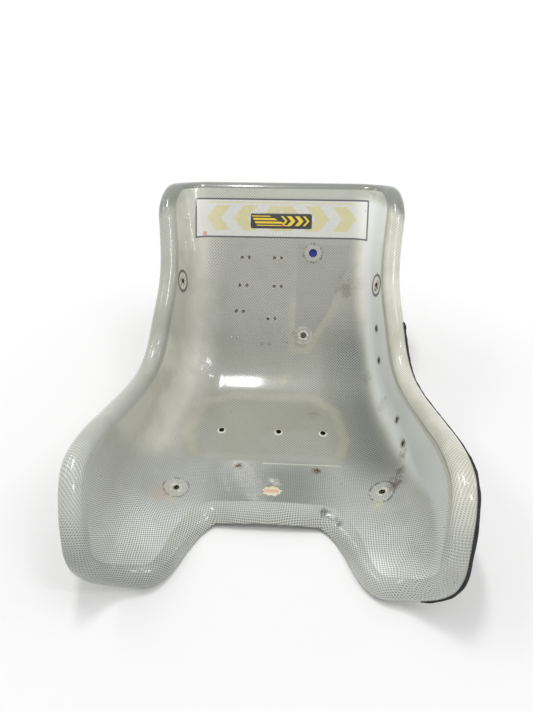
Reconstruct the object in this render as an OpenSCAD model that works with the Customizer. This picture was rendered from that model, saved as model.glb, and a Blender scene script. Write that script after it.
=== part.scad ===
// Kart racing seat: a one-piece glass-fibre bucket with a rolled edge, the plies bonded
// outside it at the mounting points, its decals, and what fills its unused holes.
//
// Origin at the centre of the flat bottom, on the ground. +Y runs to the back of the seat,
// +Z up and +X to the driver's left. Millimetres.
//
// The tub is lofted along a spine: thigh ramp, flat bottom, bend, straight back. A place on
// its inner skin is [q, w]: q along the spine from the leg tips, w round the section.

/* [Spine] */
// Length of the thigh ramp, from the leg tips to the flat bottom
ramp_len = 181; // [165:1:200]
// Slope of the thigh ramp
ramp_slope = 6; // [5.5:0.5:9]
// Length of the flat bottom
flat_len = 112; // [98:1:126]
// Inner radius of the bend into the back
bend_r = 117; // [104:1:130]
// Lean of the back from upright
recline = 31.5; // [27:0.5:36]
// Length of the straight back
back_len = 246; // [228:1:265]

/* [Half widths] */
// Half width at the leg tips
tip_half_w = 174; // [165:1:183]
// Half width at the thighs
thigh_half_w = 189; // [179:1:199]
// Half width at the hips
hip_half_w = 175; // [167:1:185]
// Half width at the waist
waist_half_w = 163; // [156:1:171]
// Half width at the ribs
rib_half_w = 154; // [147:1:161]
// Half width at the top
top_half_w = 164; // [156:1:172]

/* [Wall heights] */
// Height of the wall at the leg tips
tip_wall_h = 54; // [49:1:62]
// Height of the wall at the thighs
thigh_wall_h = 127; // [117:1:137]
// Height of the wall at the hips
hip_wall_h = 102; // [94:1:112]
// Height of the wall at the waist
waist_wall_h = 93; // [86:1:101]
// Height of the wall at the ribs
rib_wall_h = 72; // [65:1:79]
// Height of the wall at the top
top_wall_h = 54; // [48:1:60]

/* [Wall directions] */
// Angle of the wall above straight forward, at the leg tips
tip_wall_dir = 56; // [50:0.5:62]
// Angle of the wall at the thighs
thigh_wall_dir = 67; // [61:0.5:73]
// Angle of the wall at the hips
hip_wall_dir = 59; // [53:0.5:65]
// Angle of the wall at the waist
waist_wall_dir = 42.5; // [38:0.5:47]
// Angle of the wall at the ribs
rib_wall_dir = 15; // [11:0.5:19]
// Angle of the wall at the top
top_wall_dir = 10; // [6:0.5:14]

/* [Cross section] */
// Radius between bottom and wall at the leg tips
tip_corner_r = 60; // [54:1:64]
// Radius between bottom and wall at the hips
hip_corner_r = 80; // [74:1:86]
// Radius between back and wall at the top
top_corner_r = 34; // [29:1:40]
// Flare of the wall along the seat pan
pan_flare = 8; // [4:0.5:12]
// Flare of the wall along the back
back_flare = 12; // [9:0.5:16]

/* [Leg cut-out] */
// Depth of the cut-out between the legs, along the spine
cutout_depth = 99; // [90:1:106]
// Half width of its straight bottom
cutout_floor_half_w = 51; // [45:1:57]
// Half width at its mouth
cutout_mouth_half_w = 145; // [138:1:152]
// Length of the rounding at the outer corner of each leg
leg_corner_len = 22; // [16:1:28]
// Length of the rounding at each top corner
top_corner_len = 35; // [28:1:42]
// Height of the rise between the legs
pommel_h = 8; // [4:0.5:11]
// Half width of that rise
pommel_half_w = 75; // [65:1:85]

/* [Laminate and rolled edge] */
// Thickness of the laminate
shell_t = 4; // [3.2:0.1:5]
// Inner-skin radius of the rolled edge, sides and top
side_roll_r = 13.5; // [11.5:0.5:15.5]
// Radius of the roll at the leg tips
tip_roll_r = 15.5; // [13.5:0.5:18]
// Radius of the roll in the leg cut-out
cutout_roll_r = 30; // [26:0.5:31]
// Turn of the roll, sides and top
side_roll_turn = 150; // [140:1:160]
// Turn of the roll at the leg tips
tip_roll_turn = 115; // [105:1:125]
// Turn of the roll in the leg cut-out
cutout_roll_turn = 60; // [54:1:62]

/* [Mounting holes] */
// Diameter of the mounting holes
mount_hole_d = 8.5; // [8:0.1:10]
// Distance of the lower pair ahead of the origin
lower_mount_ahead = 117; // [111:1:123]
// Lower mounting hole, distance to the driver's left
lower_left_x = 142; // [136:1:146]
// Lower mounting hole, distance to the driver's right
lower_right_x = 121; // [115:1:127]
// Distance of the side mounting holes behind the origin
side_mount_behind = 162; // [158:1:166]
// Height of the side mounting holes
side_mount_h = 167; // [163:1:171]
// Distance of the open stay hole above the bend
stay_hole_up = 11.5; // [8:0.5:20]
// Offset of the open stay hole to the driver's left
stay_hole_x = 41; // [36:1:46]
// Diameter of the open stay hole
stay_hole_d = 10.5; // [9:0.5:12]

/* [Other holes] */
// Diameter of the ballast holes in the flat bottom
ballast_hole_d = 8; // [7:0.5:9]
// Distance of the ballast holes behind the origin
ballast_behind = 2; // [-5:1:9]
// Offset of the outer ballast hole on the driver's right
ballast_right_x = 77; // [70:1:80]
// Offset of the middle ballast hole
ballast_mid_x = 7; // [0:1:14]
// Offset of the outer ballast hole on the driver's left
ballast_left_x = 72; // [65:1:78]
// How far up the back the plugged hole is, as a share of its length
plug_hole_share = 0.59; // [0.55:0.01:0.6]
// Offset of the plugged hole
plug_hole_x = 53; // [48:1:58]
// Diameter of the plugged hole
plug_hole_d = 13; // [11:0.5:14]
// Diameter of the tie holes in the back
tie_hole_d = 4.4; // [3.6:0.1:5]
// Distance between the two holes of a pair
tie_pair_pitch = 11.5; // [10:0.5:13]
// Distance between the rows of tie holes
tie_row_pitch = 45; // [43:0.5:46]
// Distance between the two columns of tie holes
tie_column_pitch = 54; // [50:0.5:57]
// Diameter of the old mounting holes
old_hole_d = 6.5; // [5.5:0.5:7.5]

/* [Plies and pads] */
// Thickness of the bonded plies
ply_t = 2.5; // [1.8:0.1:3]
// Half width of the bottom ply at its front
bottom_ply_front_half_w = 92; // [84:1:95]
// Half width of the bottom ply at its back
bottom_ply_back_half_w = 83; // [76:1:85]
// Length of the bottom ply
bottom_ply_len = 106; // [90:1:110]
// Corner radius of the bottom ply
ply_corner_r = 10; // [6:1:12]
// Radius of the back ply's lower end, round the stay hole
back_ply_end_r = 24; // [20:1:28]
// How far the back ply's outer edge slants out per millimetre of height
back_ply_slant = 0.7; // [0.5:0.05:0.8]
// Offset of that edge where it stops slanting, to the driver's left
back_ply_out_x = 108; // [96:1:112]
// Diameter of the plies at the lower mounting holes
lower_ply_d = 56; // [46:1:62]
// Length of the plies at the side mounting holes
side_ply_len = 64; // [54:1:72]
// Width of the plies at the side mounting holes
side_ply_w = 38; // [34:1:42]
// Bond line between a ply and the laminate
bond = 0.3; // [0.2:0.05:0.5]

/* [Decals and trim] */
// Thickness of the decals
decal_t = 0.5; // [0.4:0.1:0.8]
// Half length of the rear panel, round the back
panel_half_len = 140; // [130:1:146]
// Width of the rear panel, along the spine
panel_w = 62; // [54:1:66]
// Distance of the rear panel's middle below the top
panel_down = 46.5; // [42.5:0.5:50.5]
// Length of the front badge
badge_len = 99; // [90:1:108]
// Width of the front badge
badge_w = 24; // [20:1:28]
// Distance of the front badge's middle below the top
badge_down = 50.5; // [44:0.5:56]
// Corner radius of the front badge
badge_corner_r = 3; // [2:0.5:4]
// Length of the size tab on the pommel
tab_len = 26; // [20:1:32]
// Width of the size tab
tab_w = 19; // [14:1:24]
// Distance of the size tab ahead of the flat bottom
tab_ahead = 63; // [59:1:67]
// Offset of the size tab to the driver's left
tab_x = 3; // [0:0.5:6]
// Thickness of the edge guard
guard_t = 2; // [1.5:0.1:2.6]
// How far the edge guard reaches back from the cut edge, on both faces
guard_leg = 3.5; // [2.5:0.5:8]
// Upper end of the edge guard, above the bend
guard_up = 27.5; // [-12:0.5:67]
// Radial clearance of plugs and fillers in their holes
plug_clearance = 0.1; // [0.05:0.05:0.2]
// Width of the hole plug's flange outside its hole
plug_flange = 4; // [3:0.5:5]
// Thickness of that flange
plug_flange_t = 1.5; // [1:0.1:2]
// Depth of the plug's end below the inner skin
plug_recess = 0.5; // [0.3:0.1:1.5]

/* [Hidden] */

// Colours of the laminate, its plies and the trim
laminate_colour = [0.67, 0.68, 0.64];
ply_colour = [0.72, 0.71, 0.6];
filler_colour = [0.45, 0.4, 0.34];

// Mesh fineness: rows along the spine, columns across the floor and round each corner,
// steps round the roll, and sides of a drilled hole
ROWS = 36;
FLOOR_COLS = 12;
CORNER_COLS = 6;
ROLL_STEPS = 7;
PATCH_CELLS = 8;
HOLE_SIDES = 48;
// Share of the half section where the rounded corners of the outline begin
CORNER_SHARE = 0.8;
// How far a drill runs past the laminate on each side
drill_run = 25;
// How far the hip and waist stations lie ahead of the ends of the bend
hip_lead = 20;
waist_lead = 10;
// Stretch of the spine over which the larger roll of a leg fades into that of the side
leg_roll_from = 20;
leg_roll_to = 160;

// Stretches of the spine
bottom_end = ramp_len + flat_len;
bend_end = bottom_end + bend_r * (90 - recline) * PI / 180;
spine_len = bend_end + back_len;
origin_q = ramp_len + flat_len / 2;
floor_z = ply_t + shell_t;

// Stations along the spine, and what the section is at each:
// [wall direction, wall height, half width, corner radius, flare]
station_q = [0, 0.55 * ramp_len, bottom_end - hip_lead, bend_end - waist_lead,
             bend_end + back_len / 2, spine_len];
stations = [
    [tip_wall_dir, tip_wall_h, tip_half_w, tip_corner_r, pan_flare],
    [thigh_wall_dir, thigh_wall_h, thigh_half_w, (tip_corner_r + 3 * hip_corner_r) / 4, pan_flare],
    [hip_wall_dir, hip_wall_h, hip_half_w, hip_corner_r, pan_flare + 2],
    [waist_wall_dir, waist_wall_h, waist_half_w, (2 * hip_corner_r + top_corner_r) / 3, back_flare + 2],
    [rib_wall_dir, rib_wall_h, rib_half_w, top_corner_r + 8, back_flare],
    [top_wall_dir, top_wall_h, top_half_w, top_corner_r, back_flare]];

function unit(v) = v / norm(v);
function clamp(x, low, high) = max(low, min(high, x));
function ease(from, to, x) = let (u = clamp((x - from) / (to - from), 0, 1)) u * u * (3 - 2 * u);
function mix(a, b, t) = a + (b - a) * t;

// Smooth curve through the stations (Catmull-Rom on uneven spans)
function station_slope(i) =
    let (low = max(i - 1, 0), high = min(i + 1, len(stations) - 1))
    (stations[high] - stations[low]) / (station_q[high] - station_q[low]);
slopes = [for (i = [0 : len(stations) - 1]) station_slope(i)];
function span_of(q, i = 0) = i >= len(stations) - 2 || q < station_q[i + 1] ? i : span_of(q, i + 1);
function section_at(q) =
    let (i = span_of(q), h = station_q[i + 1] - station_q[i], u = (q - station_q[i]) / h)
    (2 * u^3 - 3 * u^2 + 1) * stations[i] + (u^3 - 2 * u^2 + u) * h * slopes[i]
    + (3 * u^2 - 2 * u^3) * stations[i + 1] + (u^3 - u^2) * h * slopes[i + 1];

// Inner skin on the centre line, as [y, z]
function spine(q) =
    let (turn = clamp((q - bottom_end) / bend_r * 180 / PI, 0, 90 - recline),
         ahead = max(ramp_len - q, 0), up = max(q - bend_end, 0))
    [clamp(q, ramp_len, bottom_end) - origin_q - ahead * cos(ramp_slope)
         + bend_r * sin(turn) + up * sin(recline),
     floor_z + ahead * sin(ramp_slope) + bend_r * (1 - cos(turn)) + up * cos(recline)];

// Half section as lengths: [flat floor, corner arc, straight wall]
function half_section(s) =
    let (arc = 90 - s[4], wall = (s[1] - s[3] * (1 - cos(arc))) / cos(s[4]))
    [s[2] - s[3] * sin(arc) - wall * sin(s[4]), s[3] * arc * PI / 180, wall];
function section_len(q) = let (p = half_section(section_at(q))) p[0] + p[1] + p[2];

// Point of the inner skin, a share from -1 to 1 of the way round the section
function skin(q, share) =
    let (s = section_at(q), p = half_section(s), w = abs(share) * (p[0] + p[1] + p[2]),
         turn = clamp((w - p[0]) / s[3] * 180 / PI, 0, 90 - s[4]),
         straight = max(w - p[0] - p[1], 0),
         x = min(w, p[0]) + s[3] * sin(turn) + straight * sin(s[4]),
         rise = s[3] * (1 - cos(turn)) + straight * cos(s[4]),
         swell = pommel_h * exp(-(x / pommel_half_w)^2)
             * ease(0, ramp_len - cutout_depth / 2, ramp_len - q),
         c = spine(q))
    [sign(share) * x, c[0] - rise * cos(s[0]), c[1] + rise * sin(s[0]) + swell];

// Unit normal towards the driver, and a point at a depth behind the inner skin
function normal(q, share) =
    unit(cross(skin(q, share + 0.002) - skin(q, share - 0.002),
               skin(q + 0.5, share) - skin(q - 0.5, share)));
function behind(q, share, depth) = skin(q, share) - depth * normal(q, share);

// Place [q, w] where the skin has the coordinates of `target` named in `use`, found from a
// first guess by following the skin
function skin_w(q, w) = skin(q, w / section_len(q));
function seek(target, use, q, w, steps = 5) =
    steps == 0 ? [q, w]
    : let (p = skin_w(q, w), dq = skin_w(q + 1, w) - p, dw = skin_w(q, w + 1) - p,
           a = use[0], b = use[1], ea = target[a] - p[a], eb = target[b] - p[b],
           det = dq[a] * dw[b] - dq[b] * dw[a])
      seek(target, use, q + (ea * dw[b] - eb * dw[a]) / det,
           w + (dq[a] * eb - dq[b] * ea) / det, steps - 1);

// Outline of the moulding: where the spine coordinate starts and ends at a share of the section
function corner_cut(share, length) =
    let (c = max(abs(share) - CORNER_SHARE, 0) / (1 - CORNER_SHARE))
    length * (1 - sqrt(max(1 - c * c, 0)));
function cutout(share) =
    cutout_depth * (1 - ease(cutout_floor_half_w, cutout_mouth_half_w, abs(share) * 1.25 * tip_half_w));
function front_q(share) = cutout(share) + corner_cut(share, leg_corner_len);
function rear_q(share) = spine_len - corner_cut(share, top_corner_len);
function column_share(j) =
    let (k = abs(j))
    sign(j) * (k <= FLOOR_COLS ? CORNER_SHARE * k / FLOOR_COLS
        : mix(CORNER_SHARE, 1, sin(90 * (k - FLOOR_COLS) / CORNER_COLS)));
SIDE_COLS = FLOOR_COLS + CORNER_COLS;
COLS = 2 * SIDE_COLS;
// Every grid place of the tub, row by row, as [q, share]
tub_places = [for (i = [0 : ROWS], j = [-SIDE_COLS : SIDE_COLS])
    let (share = column_share(j)) [mix(front_q(share), rear_q(share), i / ROWS), share]];
function place_index(i, j) = i * (COLS + 1) + j;

// Grid indices round the outline: along the front, up the driver's left, across the top, down
rim = concat([for (j = [0 : COLS]) place_index(0, j)],
             [for (i = [1 : ROWS]) place_index(i, COLS)],
             [for (j = [COLS - 1 : -1 : 0]) place_index(ROWS, j)],
             [for (i = [ROWS - 1 : -1 : 1]) place_index(i, 0)]);

// The roll at a place on the outline, as [radius, turn]
function roll_at(q, share) =
    let (fore = q > spine_len / 2 ? 0 : abs(share) < 1 ? 1 : 1 - ease(leg_roll_from, leg_roll_to, q),
         reach = abs(share) * 1.25 * tip_half_w,
         notch = q > spine_len / 2 || abs(share) > 0.98 ? 0
             : 1 - ease(0.8 * cutout_floor_half_w, 1.05 * cutout_mouth_half_w, reach))
    [mix(side_roll_r, tip_roll_r, fore) + (cutout_roll_r - tip_roll_r) * notch,
     mix(side_roll_turn, tip_roll_turn, fore) + (cutout_roll_turn - tip_roll_turn) * notch];

// Frame of the roll at rim place n: [edge point, outward, normal, [radius, turn]]
function rim_point(n) = let (p = tub_places[rim[(n + len(rim)) % len(rim)]]) skin(p[0], p[1]);
function rim_frame(n) =
    let (p = tub_places[rim[n]], along = unit(rim_point(n + 1) - rim_point(n - 1)),
         n0 = normal(p[0], p[1]), up = unit(n0 - (n0 * along) * along))
    [rim_point(n), cross(along, up), up, roll_at(p[0], p[1])];
// Point round the roll of a frame: turned by a share of its turn, outside its inner skin by `out`
function roll_point(f, part, out) =
    let (turn = f[3][1] * part, r = f[3][0] + out)
    f[0] - f[3][0] * f[2] + r * (sin(turn) * f[1] + cos(turn) * f[2]);

// Two triangles of a quad with corners in order
function quad(a, b, c, d) = [[a, b, c], [a, c, d]];
// Triangles of a grid of rows by cols cells that starts at point `base`, facing up or down
function grid_faces(rows, cols, base, up) =
    [for (i = [0 : rows - 1], j = [0 : cols - 1])
        let (a = base + i * (cols + 1) + j, b = a + 1, c = b + cols + 1, d = a + cols + 1)
        each (up ? quad(a, d, c, b) : quad(a, b, c, d))];

// The tub: inner and outer skin, both carried round the roll, and closed along its end
module tub() {
    count = len(tub_places);
    frames = [for (n = [0 : len(rim) - 1]) rim_frame(n)];
    edge = len(rim);
    points = concat(
        [for (p = tub_places) skin(p[0], p[1])],
        [for (p = tub_places) behind(p[0], p[1], shell_t)],
        [for (k = [1 : ROLL_STEPS], f = frames) roll_point(f, k / ROLL_STEPS, 0)],
        [for (k = [1 : ROLL_STEPS], f = frames) roll_point(f, k / ROLL_STEPS, -shell_t)]);
    function inner(k, n) = k == 0 ? rim[n % edge] : 2 * count + (k - 1) * edge + n % edge;
    function outer(k, n) =
        k == 0 ? count + rim[n % edge] : 2 * count + (ROLL_STEPS + k - 1) * edge + n % edge;
    faces = concat(
        grid_faces(ROWS, COLS, 0, true),
        grid_faces(ROWS, COLS, count, false),
        [for (k = [0 : ROLL_STEPS - 1], n = [0 : edge - 1])
            each quad(inner(k, n), inner(k, n + 1), inner(k + 1, n + 1), inner(k + 1, n))],
        [for (k = [0 : ROLL_STEPS - 1], n = [0 : edge - 1])
            each quad(outer(k, n), outer(k + 1, n), outer(k + 1, n + 1), outer(k, n + 1))],
        [for (n = [0 : edge - 1])
            each quad(inner(ROLL_STEPS, n), inner(ROLL_STEPS, n + 1),
                      outer(ROLL_STEPS, n + 1), outer(ROLL_STEPS, n))]);
    polyhedron(points, faces, convexity = 6);
}

// Closed solid between two like grids of points, near side first
module slab(near, far, rows, cols) {
    count = len(near);
    border = concat([for (j = [0 : cols]) j], [for (i = [1 : rows]) i * (cols + 1) + cols],
                    [for (j = [cols - 1 : -1 : 0]) rows * (cols + 1) + j],
                    [for (i = [rows - 1 : -1 : 1]) i * (cols + 1)]);
    edge = len(border);
    polyhedron(concat(near, far), concat(
        grid_faces(rows, cols, 0, true),
        grid_faces(rows, cols, count, false),
        [for (n = [0 : edge - 1])
            let (a = border[n], b = border[(n + 1) % edge]) each quad(a, b, b + count, a + count)]),
        convexity = 4);
}

// A pad that follows the skin, round [q, w], from depth `near` to `far` behind the inner skin.
// `round` blends it from a rectangle (0) to an ellipse (1).
module skin_pad(q, w, half_len, half_w, near, far, rows, cols, round) {
    places = [for (i = [0 : rows], j = [0 : cols])
        let (s = 2 * i / rows - 1, t = 2 * j / cols - 1,
             along = s * sqrt(1 - round * t * t / 2), across = t * sqrt(1 - round * s * s / 2),
             place_q = q + half_len * along)
        [place_q, (w + half_w * across) / section_len(place_q)]];
    slab([for (p = places) behind(p[0], p[1], near)],
         [for (p = places) behind(p[0], p[1], far)], rows, cols);
}

// Places on the seat: on the inner skin of the back, through the floor, through a side wall
module on_back(q, x) {
    translate([x, spine(q)[0], spine(q)[1]])
        rotate([90 - recline, 0, 0])
            children();
}
module on_skin(q, share) {
    up = normal(q, share);
    along = unit(skin(q + 0.5, share) - skin(q - 0.5, share));
    across = unit(cross(along, up));
    place = skin(q, share);
    forward = cross(up, across);
    multmatrix([for (k = [0 : 2]) [across[k], forward[k], up[k], place[k]]])
        children();
}
module drill(d, length) {
    cylinder(d = d, h = length, center = true, $fn = HOLE_SIDES);
}
module through_back(q, x, d) {
    on_back(q, x) drill(d, 2 * drill_run);
}
module through_floor(x, y, d) {
    translate([x, y, floor_z]) drill(d, 3 * drill_run);
}
module through_skin(q, share, d) {
    on_skin(q, share) drill(d, 2 * drill_run);
}

// Rounded outline through corner points
function round_corner(a, b, c, r) =
    let (u = unit(a - b), v = unit(c - b), half = acos(u * v) / 2,
         centre = b + unit(u + v) * r / sin(half),
         from = b + u * r / tan(half) - centre, start = atan2(from[1], from[0]),
         to = b + v * r / tan(half) - centre, turn = atan2(cross(from, to), from * to))
    [for (k = [0 : 6]) centre + r * [cos(start + turn * k / 6), sin(start + turn * k / 6)]];
function rounded(corners, r) =
    let (n = len(corners))
    [for (i = [0 : n - 1])
        each round_corner(corners[(i + n - 1) % n], corners[i], corners[(i + 1) % n], r)];

// Places of the holes drilled straight down, as [x, y]
lower_mounts = [[lower_left_x, -lower_mount_ahead], [-lower_right_x, -lower_mount_ahead]];
ballast_holes = [for (x = [-ballast_right_x, ballast_mid_x, ballast_left_x]) [x, ballast_behind]];
// Side mounting hole, as [q, w] on the driver's left, and holes in the back
side_mount = seek([0, side_mount_behind, side_mount_h], [1, 2], bend_end + 0.4 * back_len, rib_half_w);
side_mount_share = side_mount[1] / section_len(side_mount[0]);
stay_hole_q = bend_end + stay_hole_up;
plug_hole_q = bend_end + plug_hole_share * back_len;
// Pairs of tie holes, drilled by eye, as rows above the bend and columns to the driver's
// right of the middle: filled with resin, then the open ones
filled_ties = [[3.03, 1.04], [3.03, 0.07], [2.03, 1.09], [2.01, 0.06], [1.08, 1.19], [0.83, 0.22]];
open_ties = [[0.12, 1.33], [-0.1, 0.37]];
// Old holes in the driver's left wall and in the ramp, as [q, share]
old_wall_holes = [[bend_end + 0.09 * back_len, 0.827], [mix(bottom_end, bend_end, 0.69), 0.818],
                  [ramp_len + 0.57 * flat_len, 0.803], [ramp_len + 0.14 * flat_len, 0.748]];
old_base_holes = [[0.92 * ramp_len, -0.166], [0.9 * ramp_len, 0.224]];

function tie_q(p) = bend_end + tie_row_pitch * p[0];
function tie_x(p, side) = -tie_column_pitch * p[1] + side * tie_pair_pitch / 2;
module tie_pairs(pairs, d) {
    for (p = pairs, side = [-1, 1])
        through_back(tie_q(p), tie_x(p, side), d);
}
module mount_drills() {
    for (m = lower_mounts)
        through_floor(m[0], m[1], mount_hole_d);
    for (side = [-1, 1])
        through_skin(side_mount[0], side * side_mount_share, mount_hole_d);
    through_back(stay_hole_q, stay_hole_x, stay_hole_d);
}

// Glass-fibre bucket, drilled
module seat_shell() {
    color(laminate_colour)
        difference() {
            tub();
            mount_drills();
            through_back(plug_hole_q, plug_hole_x, plug_hole_d);
            tie_pairs(filled_ties, tie_hole_d);
            tie_pairs(open_ties, tie_hole_d);
            for (h = ballast_holes)
                through_floor(h[0], h[1], ballast_hole_d);
            for (h = concat(old_wall_holes, old_base_holes))
                through_skin(h[0], h[1], old_hole_d);
        }
}

// Ply under the flat bottom: the face the seat stands on
module bottom_ply() {
    half = bottom_ply_len / 2;
    color(ply_colour)
        difference() {
            linear_extrude(ply_t)
                polygon(rounded([[-bottom_ply_front_half_w, -half], [bottom_ply_front_half_w, -half],
                                 [bottom_ply_back_half_w, half], [-bottom_ply_back_half_w, half]],
                                ply_corner_r));
            for (h = ballast_holes)
                through_floor(h[0], h[1], ballast_hole_d);
        }
}

// Pennant-shaped ply behind the back, from a round end at the stay hole up past the plugged
// hole. Its outer edge slants outward, and it follows the laminate.
module back_ply() {
    head = plug_hole_q + 1.1 * plug_hole_d - stay_hole_q;
    near = shell_t + bond;
    end_rows = PATCH_CELLS / 2;
    rows = 5 * end_rows;
    cols = 3 * end_rows;
    function turn(i) = mix(18, 90, min(i / end_rows, 1));
    function up(i) =
        i < end_rows ? -back_ply_end_r * cos(turn(i)) : head * (i - end_rows) / (rows - end_rows);
    function inner(i) = stay_hole_x - back_ply_end_r * sin(turn(i));
    function outer(i) =
        min(stay_hole_x + back_ply_end_r * sin(turn(i))
            + back_ply_slant * max(up(i) - back_ply_end_r / 2, 0), back_ply_out_x);
    places = [for (i = [0 : rows], j = [0 : cols])
        let (q = stay_hole_q + up(i)) [q, mix(inner(i), outer(i), j / cols) / section_len(q)]];
    color(ply_colour)
        difference() {
            slab([for (p = places) behind(p[0], p[1], near)],
                 [for (p = places) behind(p[0], p[1], near + ply_t)], rows, cols);
            through_back(stay_hole_q, stay_hole_x, stay_hole_d);
            through_back(plug_hole_q, plug_hole_x, plug_hole_d);
        }
}

// Round ply under the ramp at a lower mounting hole
module lower_ply(mount) {
    place = seek([mount[0], mount[1], 0], [0, 1], origin_q + mount[1], mount[0]);
    near = shell_t + bond;
    color(ply_colour)
        difference() {
            skin_pad(place[0], place[1], lower_ply_d / 2, lower_ply_d / 2, near, near + ply_t,
                     PATCH_CELLS, PATCH_CELLS, 1);
            through_floor(mount[0], mount[1], mount_hole_d);
        }
}
module lower_ply_left() {
    lower_ply(lower_mounts[0]);
}
module lower_ply_right() {
    lower_ply(lower_mounts[1]);
}

// Oblong ply outside a side wall at its mounting hole, clear of the rolled edge
module side_ply(side) {
    w = min(side_mount[1], section_len(side_mount[0]) - side_ply_w / 2 - shell_t);
    near = shell_t + bond;
    color(ply_colour)
        difference() {
            skin_pad(side_mount[0], side * w, side_ply_len / 2, side_ply_w / 2, near, near + ply_t,
                     PATCH_CELLS, PATCH_CELLS, 0.6);
            through_skin(side_mount[0], side * side_mount_share, mount_hole_d);
        }
}
module side_ply_left() {
    side_ply(1);
}
module side_ply_right() {
    side_ply(-1);
}

// Large film behind the top of the back, which shows through the laminate
module rear_panel() {
    near = shell_t + bond;
    color([0.8, 0.8, 0.72])
        skin_pad(spine_len - panel_down, 0, panel_w / 2, panel_half_len, near, near + decal_t, 6, 28, 0);
}

// Small badge on the driver's side of the back
module front_badge() {
    half_len = badge_len / 2;
    half_w = badge_w / 2;
    color([0.08, 0.08, 0.08])
        on_back(spine_len - badge_down, 0)
            linear_extrude(decal_t)
                polygon(rounded([[-half_len, -half_w], [half_len, -half_w],
                                 [half_len, half_w], [-half_len, half_w]], badge_corner_r));
}

// Size tab on the rise between the legs
module size_tab() {
    color([0.85, 0.82, 0.7])
        skin_pad(ramp_len - tab_ahead, tab_x, tab_w / 2, tab_len / 2, -bond - decal_t, -bond,
                 PATCH_CELLS, PATCH_CELLS, 1);
}

// Plastic plug in the upper hole of the back, its flange outside on the ply
module hole_plug() {
    outside = -shell_t - bond - ply_t;
    color([0.1, 0.2, 0.55])
        on_back(plug_hole_q, plug_hole_x) {
            translate([0, 0, outside])
                cylinder(d = plug_hole_d - 2 * plug_clearance, h = -outside - plug_recess,
                         $fn = HOLE_SIDES);
            translate([0, 0, outside - plug_flange_t])
                cylinder(d = plug_hole_d + 2 * plug_flange, h = plug_flange_t, $fn = HOLE_SIDES);
        }
}

// Black guard folded over the cut edge of the roll on the driver's left, from the leg tip to
// the ribs. Its section is listed as [distance back from the cut edge, height outside it].
module edge_guard() {
    places = [for (n = [COLS - CORNER_COLS : COLS + ROWS])
        if (tub_places[rim[n]][0] <= bend_end + guard_up) n];
    top = bond + guard_t;
    mid = -shell_t / 2;
    outside = [[guard_leg, top], [0, top], [-bond - 0.7 * guard_t, bond + 0.35 * guard_t],
               [-bond - guard_t, mid],
               [-bond - 0.7 * guard_t, 2 * mid - bond - 0.35 * guard_t], [0, 2 * mid - top],
               [guard_leg, 2 * mid - top]];
    inside = [[guard_leg, bond], [0, bond], [-bond, bond], [-bond, mid], [-bond, 2 * mid - bond],
              [0, 2 * mid - bond], [guard_leg, 2 * mid - bond]];
    function around(f, p) = roll_point(f, 1 - p[0] / f[3][0] * 180 / PI / f[3][1], p[1]);
    frames = [for (n = places) rim_frame(n)];
    color([0.05, 0.05, 0.06])
        slab([for (f = frames, p = outside) around(f, p)], [for (f = frames, p = inside) around(f, p)],
             len(places) - 1, len(inside) - 1);
}

// Resin in the tie holes and in the old mounting holes, flush with the laminate
module tie_hole_fillers() {
    color(filler_colour)
        for (p = filled_ties, side = [-1, 1])
            on_back(tie_q(p), tie_x(p, side))
                translate([0, 0, -shell_t])
                    cylinder(d = tie_hole_d - 2 * plug_clearance, h = shell_t, $fn = HOLE_SIDES / 2);
}
module old_hole_fillers(places) {
    color(filler_colour)
        for (h = places)
            on_skin(h[0], h[1])
                translate([0, 0, -shell_t])
                    cylinder(d = old_hole_d - 2 * plug_clearance, h = shell_t, $fn = HOLE_SIDES);
}
module wall_hole_fillers() {
    old_hole_fillers(old_wall_holes);
}
module base_hole_fillers() {
    old_hole_fillers(old_base_holes);
}

seat_shell();
bottom_ply();
back_ply();
side_ply_left();
side_ply_right();
lower_ply_left();
lower_ply_right();
rear_panel();
front_badge();
size_tab();
hole_plug();
edge_guard();
tie_hole_fillers();
wall_hole_fillers();
base_hole_fillers();
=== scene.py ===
"""Kart racing seat: a glossy glass-fibre bucket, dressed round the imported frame.

Shapes are worked out in millimetres, in the frame's axes: +X to the driver's left, +Y to the
back and +Z up. They become metres when a mesh is made.
"""
import functools
import logging
import math
from dataclasses import dataclass
from typing import Iterable, Sequence

import bmesh
import bpy
import numpy as np
from mathutils import Matrix


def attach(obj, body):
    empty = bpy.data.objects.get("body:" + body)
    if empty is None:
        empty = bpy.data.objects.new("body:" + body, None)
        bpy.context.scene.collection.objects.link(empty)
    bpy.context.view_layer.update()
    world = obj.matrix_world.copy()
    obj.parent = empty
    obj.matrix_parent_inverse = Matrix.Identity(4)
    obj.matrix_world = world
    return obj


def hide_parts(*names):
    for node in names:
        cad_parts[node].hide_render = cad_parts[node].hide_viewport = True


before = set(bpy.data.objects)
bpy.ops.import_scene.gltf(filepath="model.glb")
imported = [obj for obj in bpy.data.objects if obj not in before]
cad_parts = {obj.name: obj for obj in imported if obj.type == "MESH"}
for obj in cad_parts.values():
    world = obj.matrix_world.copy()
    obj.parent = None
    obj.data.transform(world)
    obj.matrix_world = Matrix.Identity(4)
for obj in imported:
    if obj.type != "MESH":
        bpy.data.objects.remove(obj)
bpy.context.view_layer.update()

LOG = logging.getLogger("kart_seat")
BODY = "root"
METRE = 0.001
FILM_BELOW_TOP = 46.5
WHITE = (1.0, 1.0, 1.0, 1.0)
Array = np.ndarray
Colour = tuple[float, float, float, float]
Point = tuple[float, float, float]


def srgb(red: int, green: int, blue: int) -> Colour:
    """Turns a colour of 0 to 255 per channel into a linear one."""
    return (*[c / 3294.6 if c <= 10.31 else ((c / 255 + 0.055) / 1.055) ** 2.4 for c in (red, green, blue)], 1.0)


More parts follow.
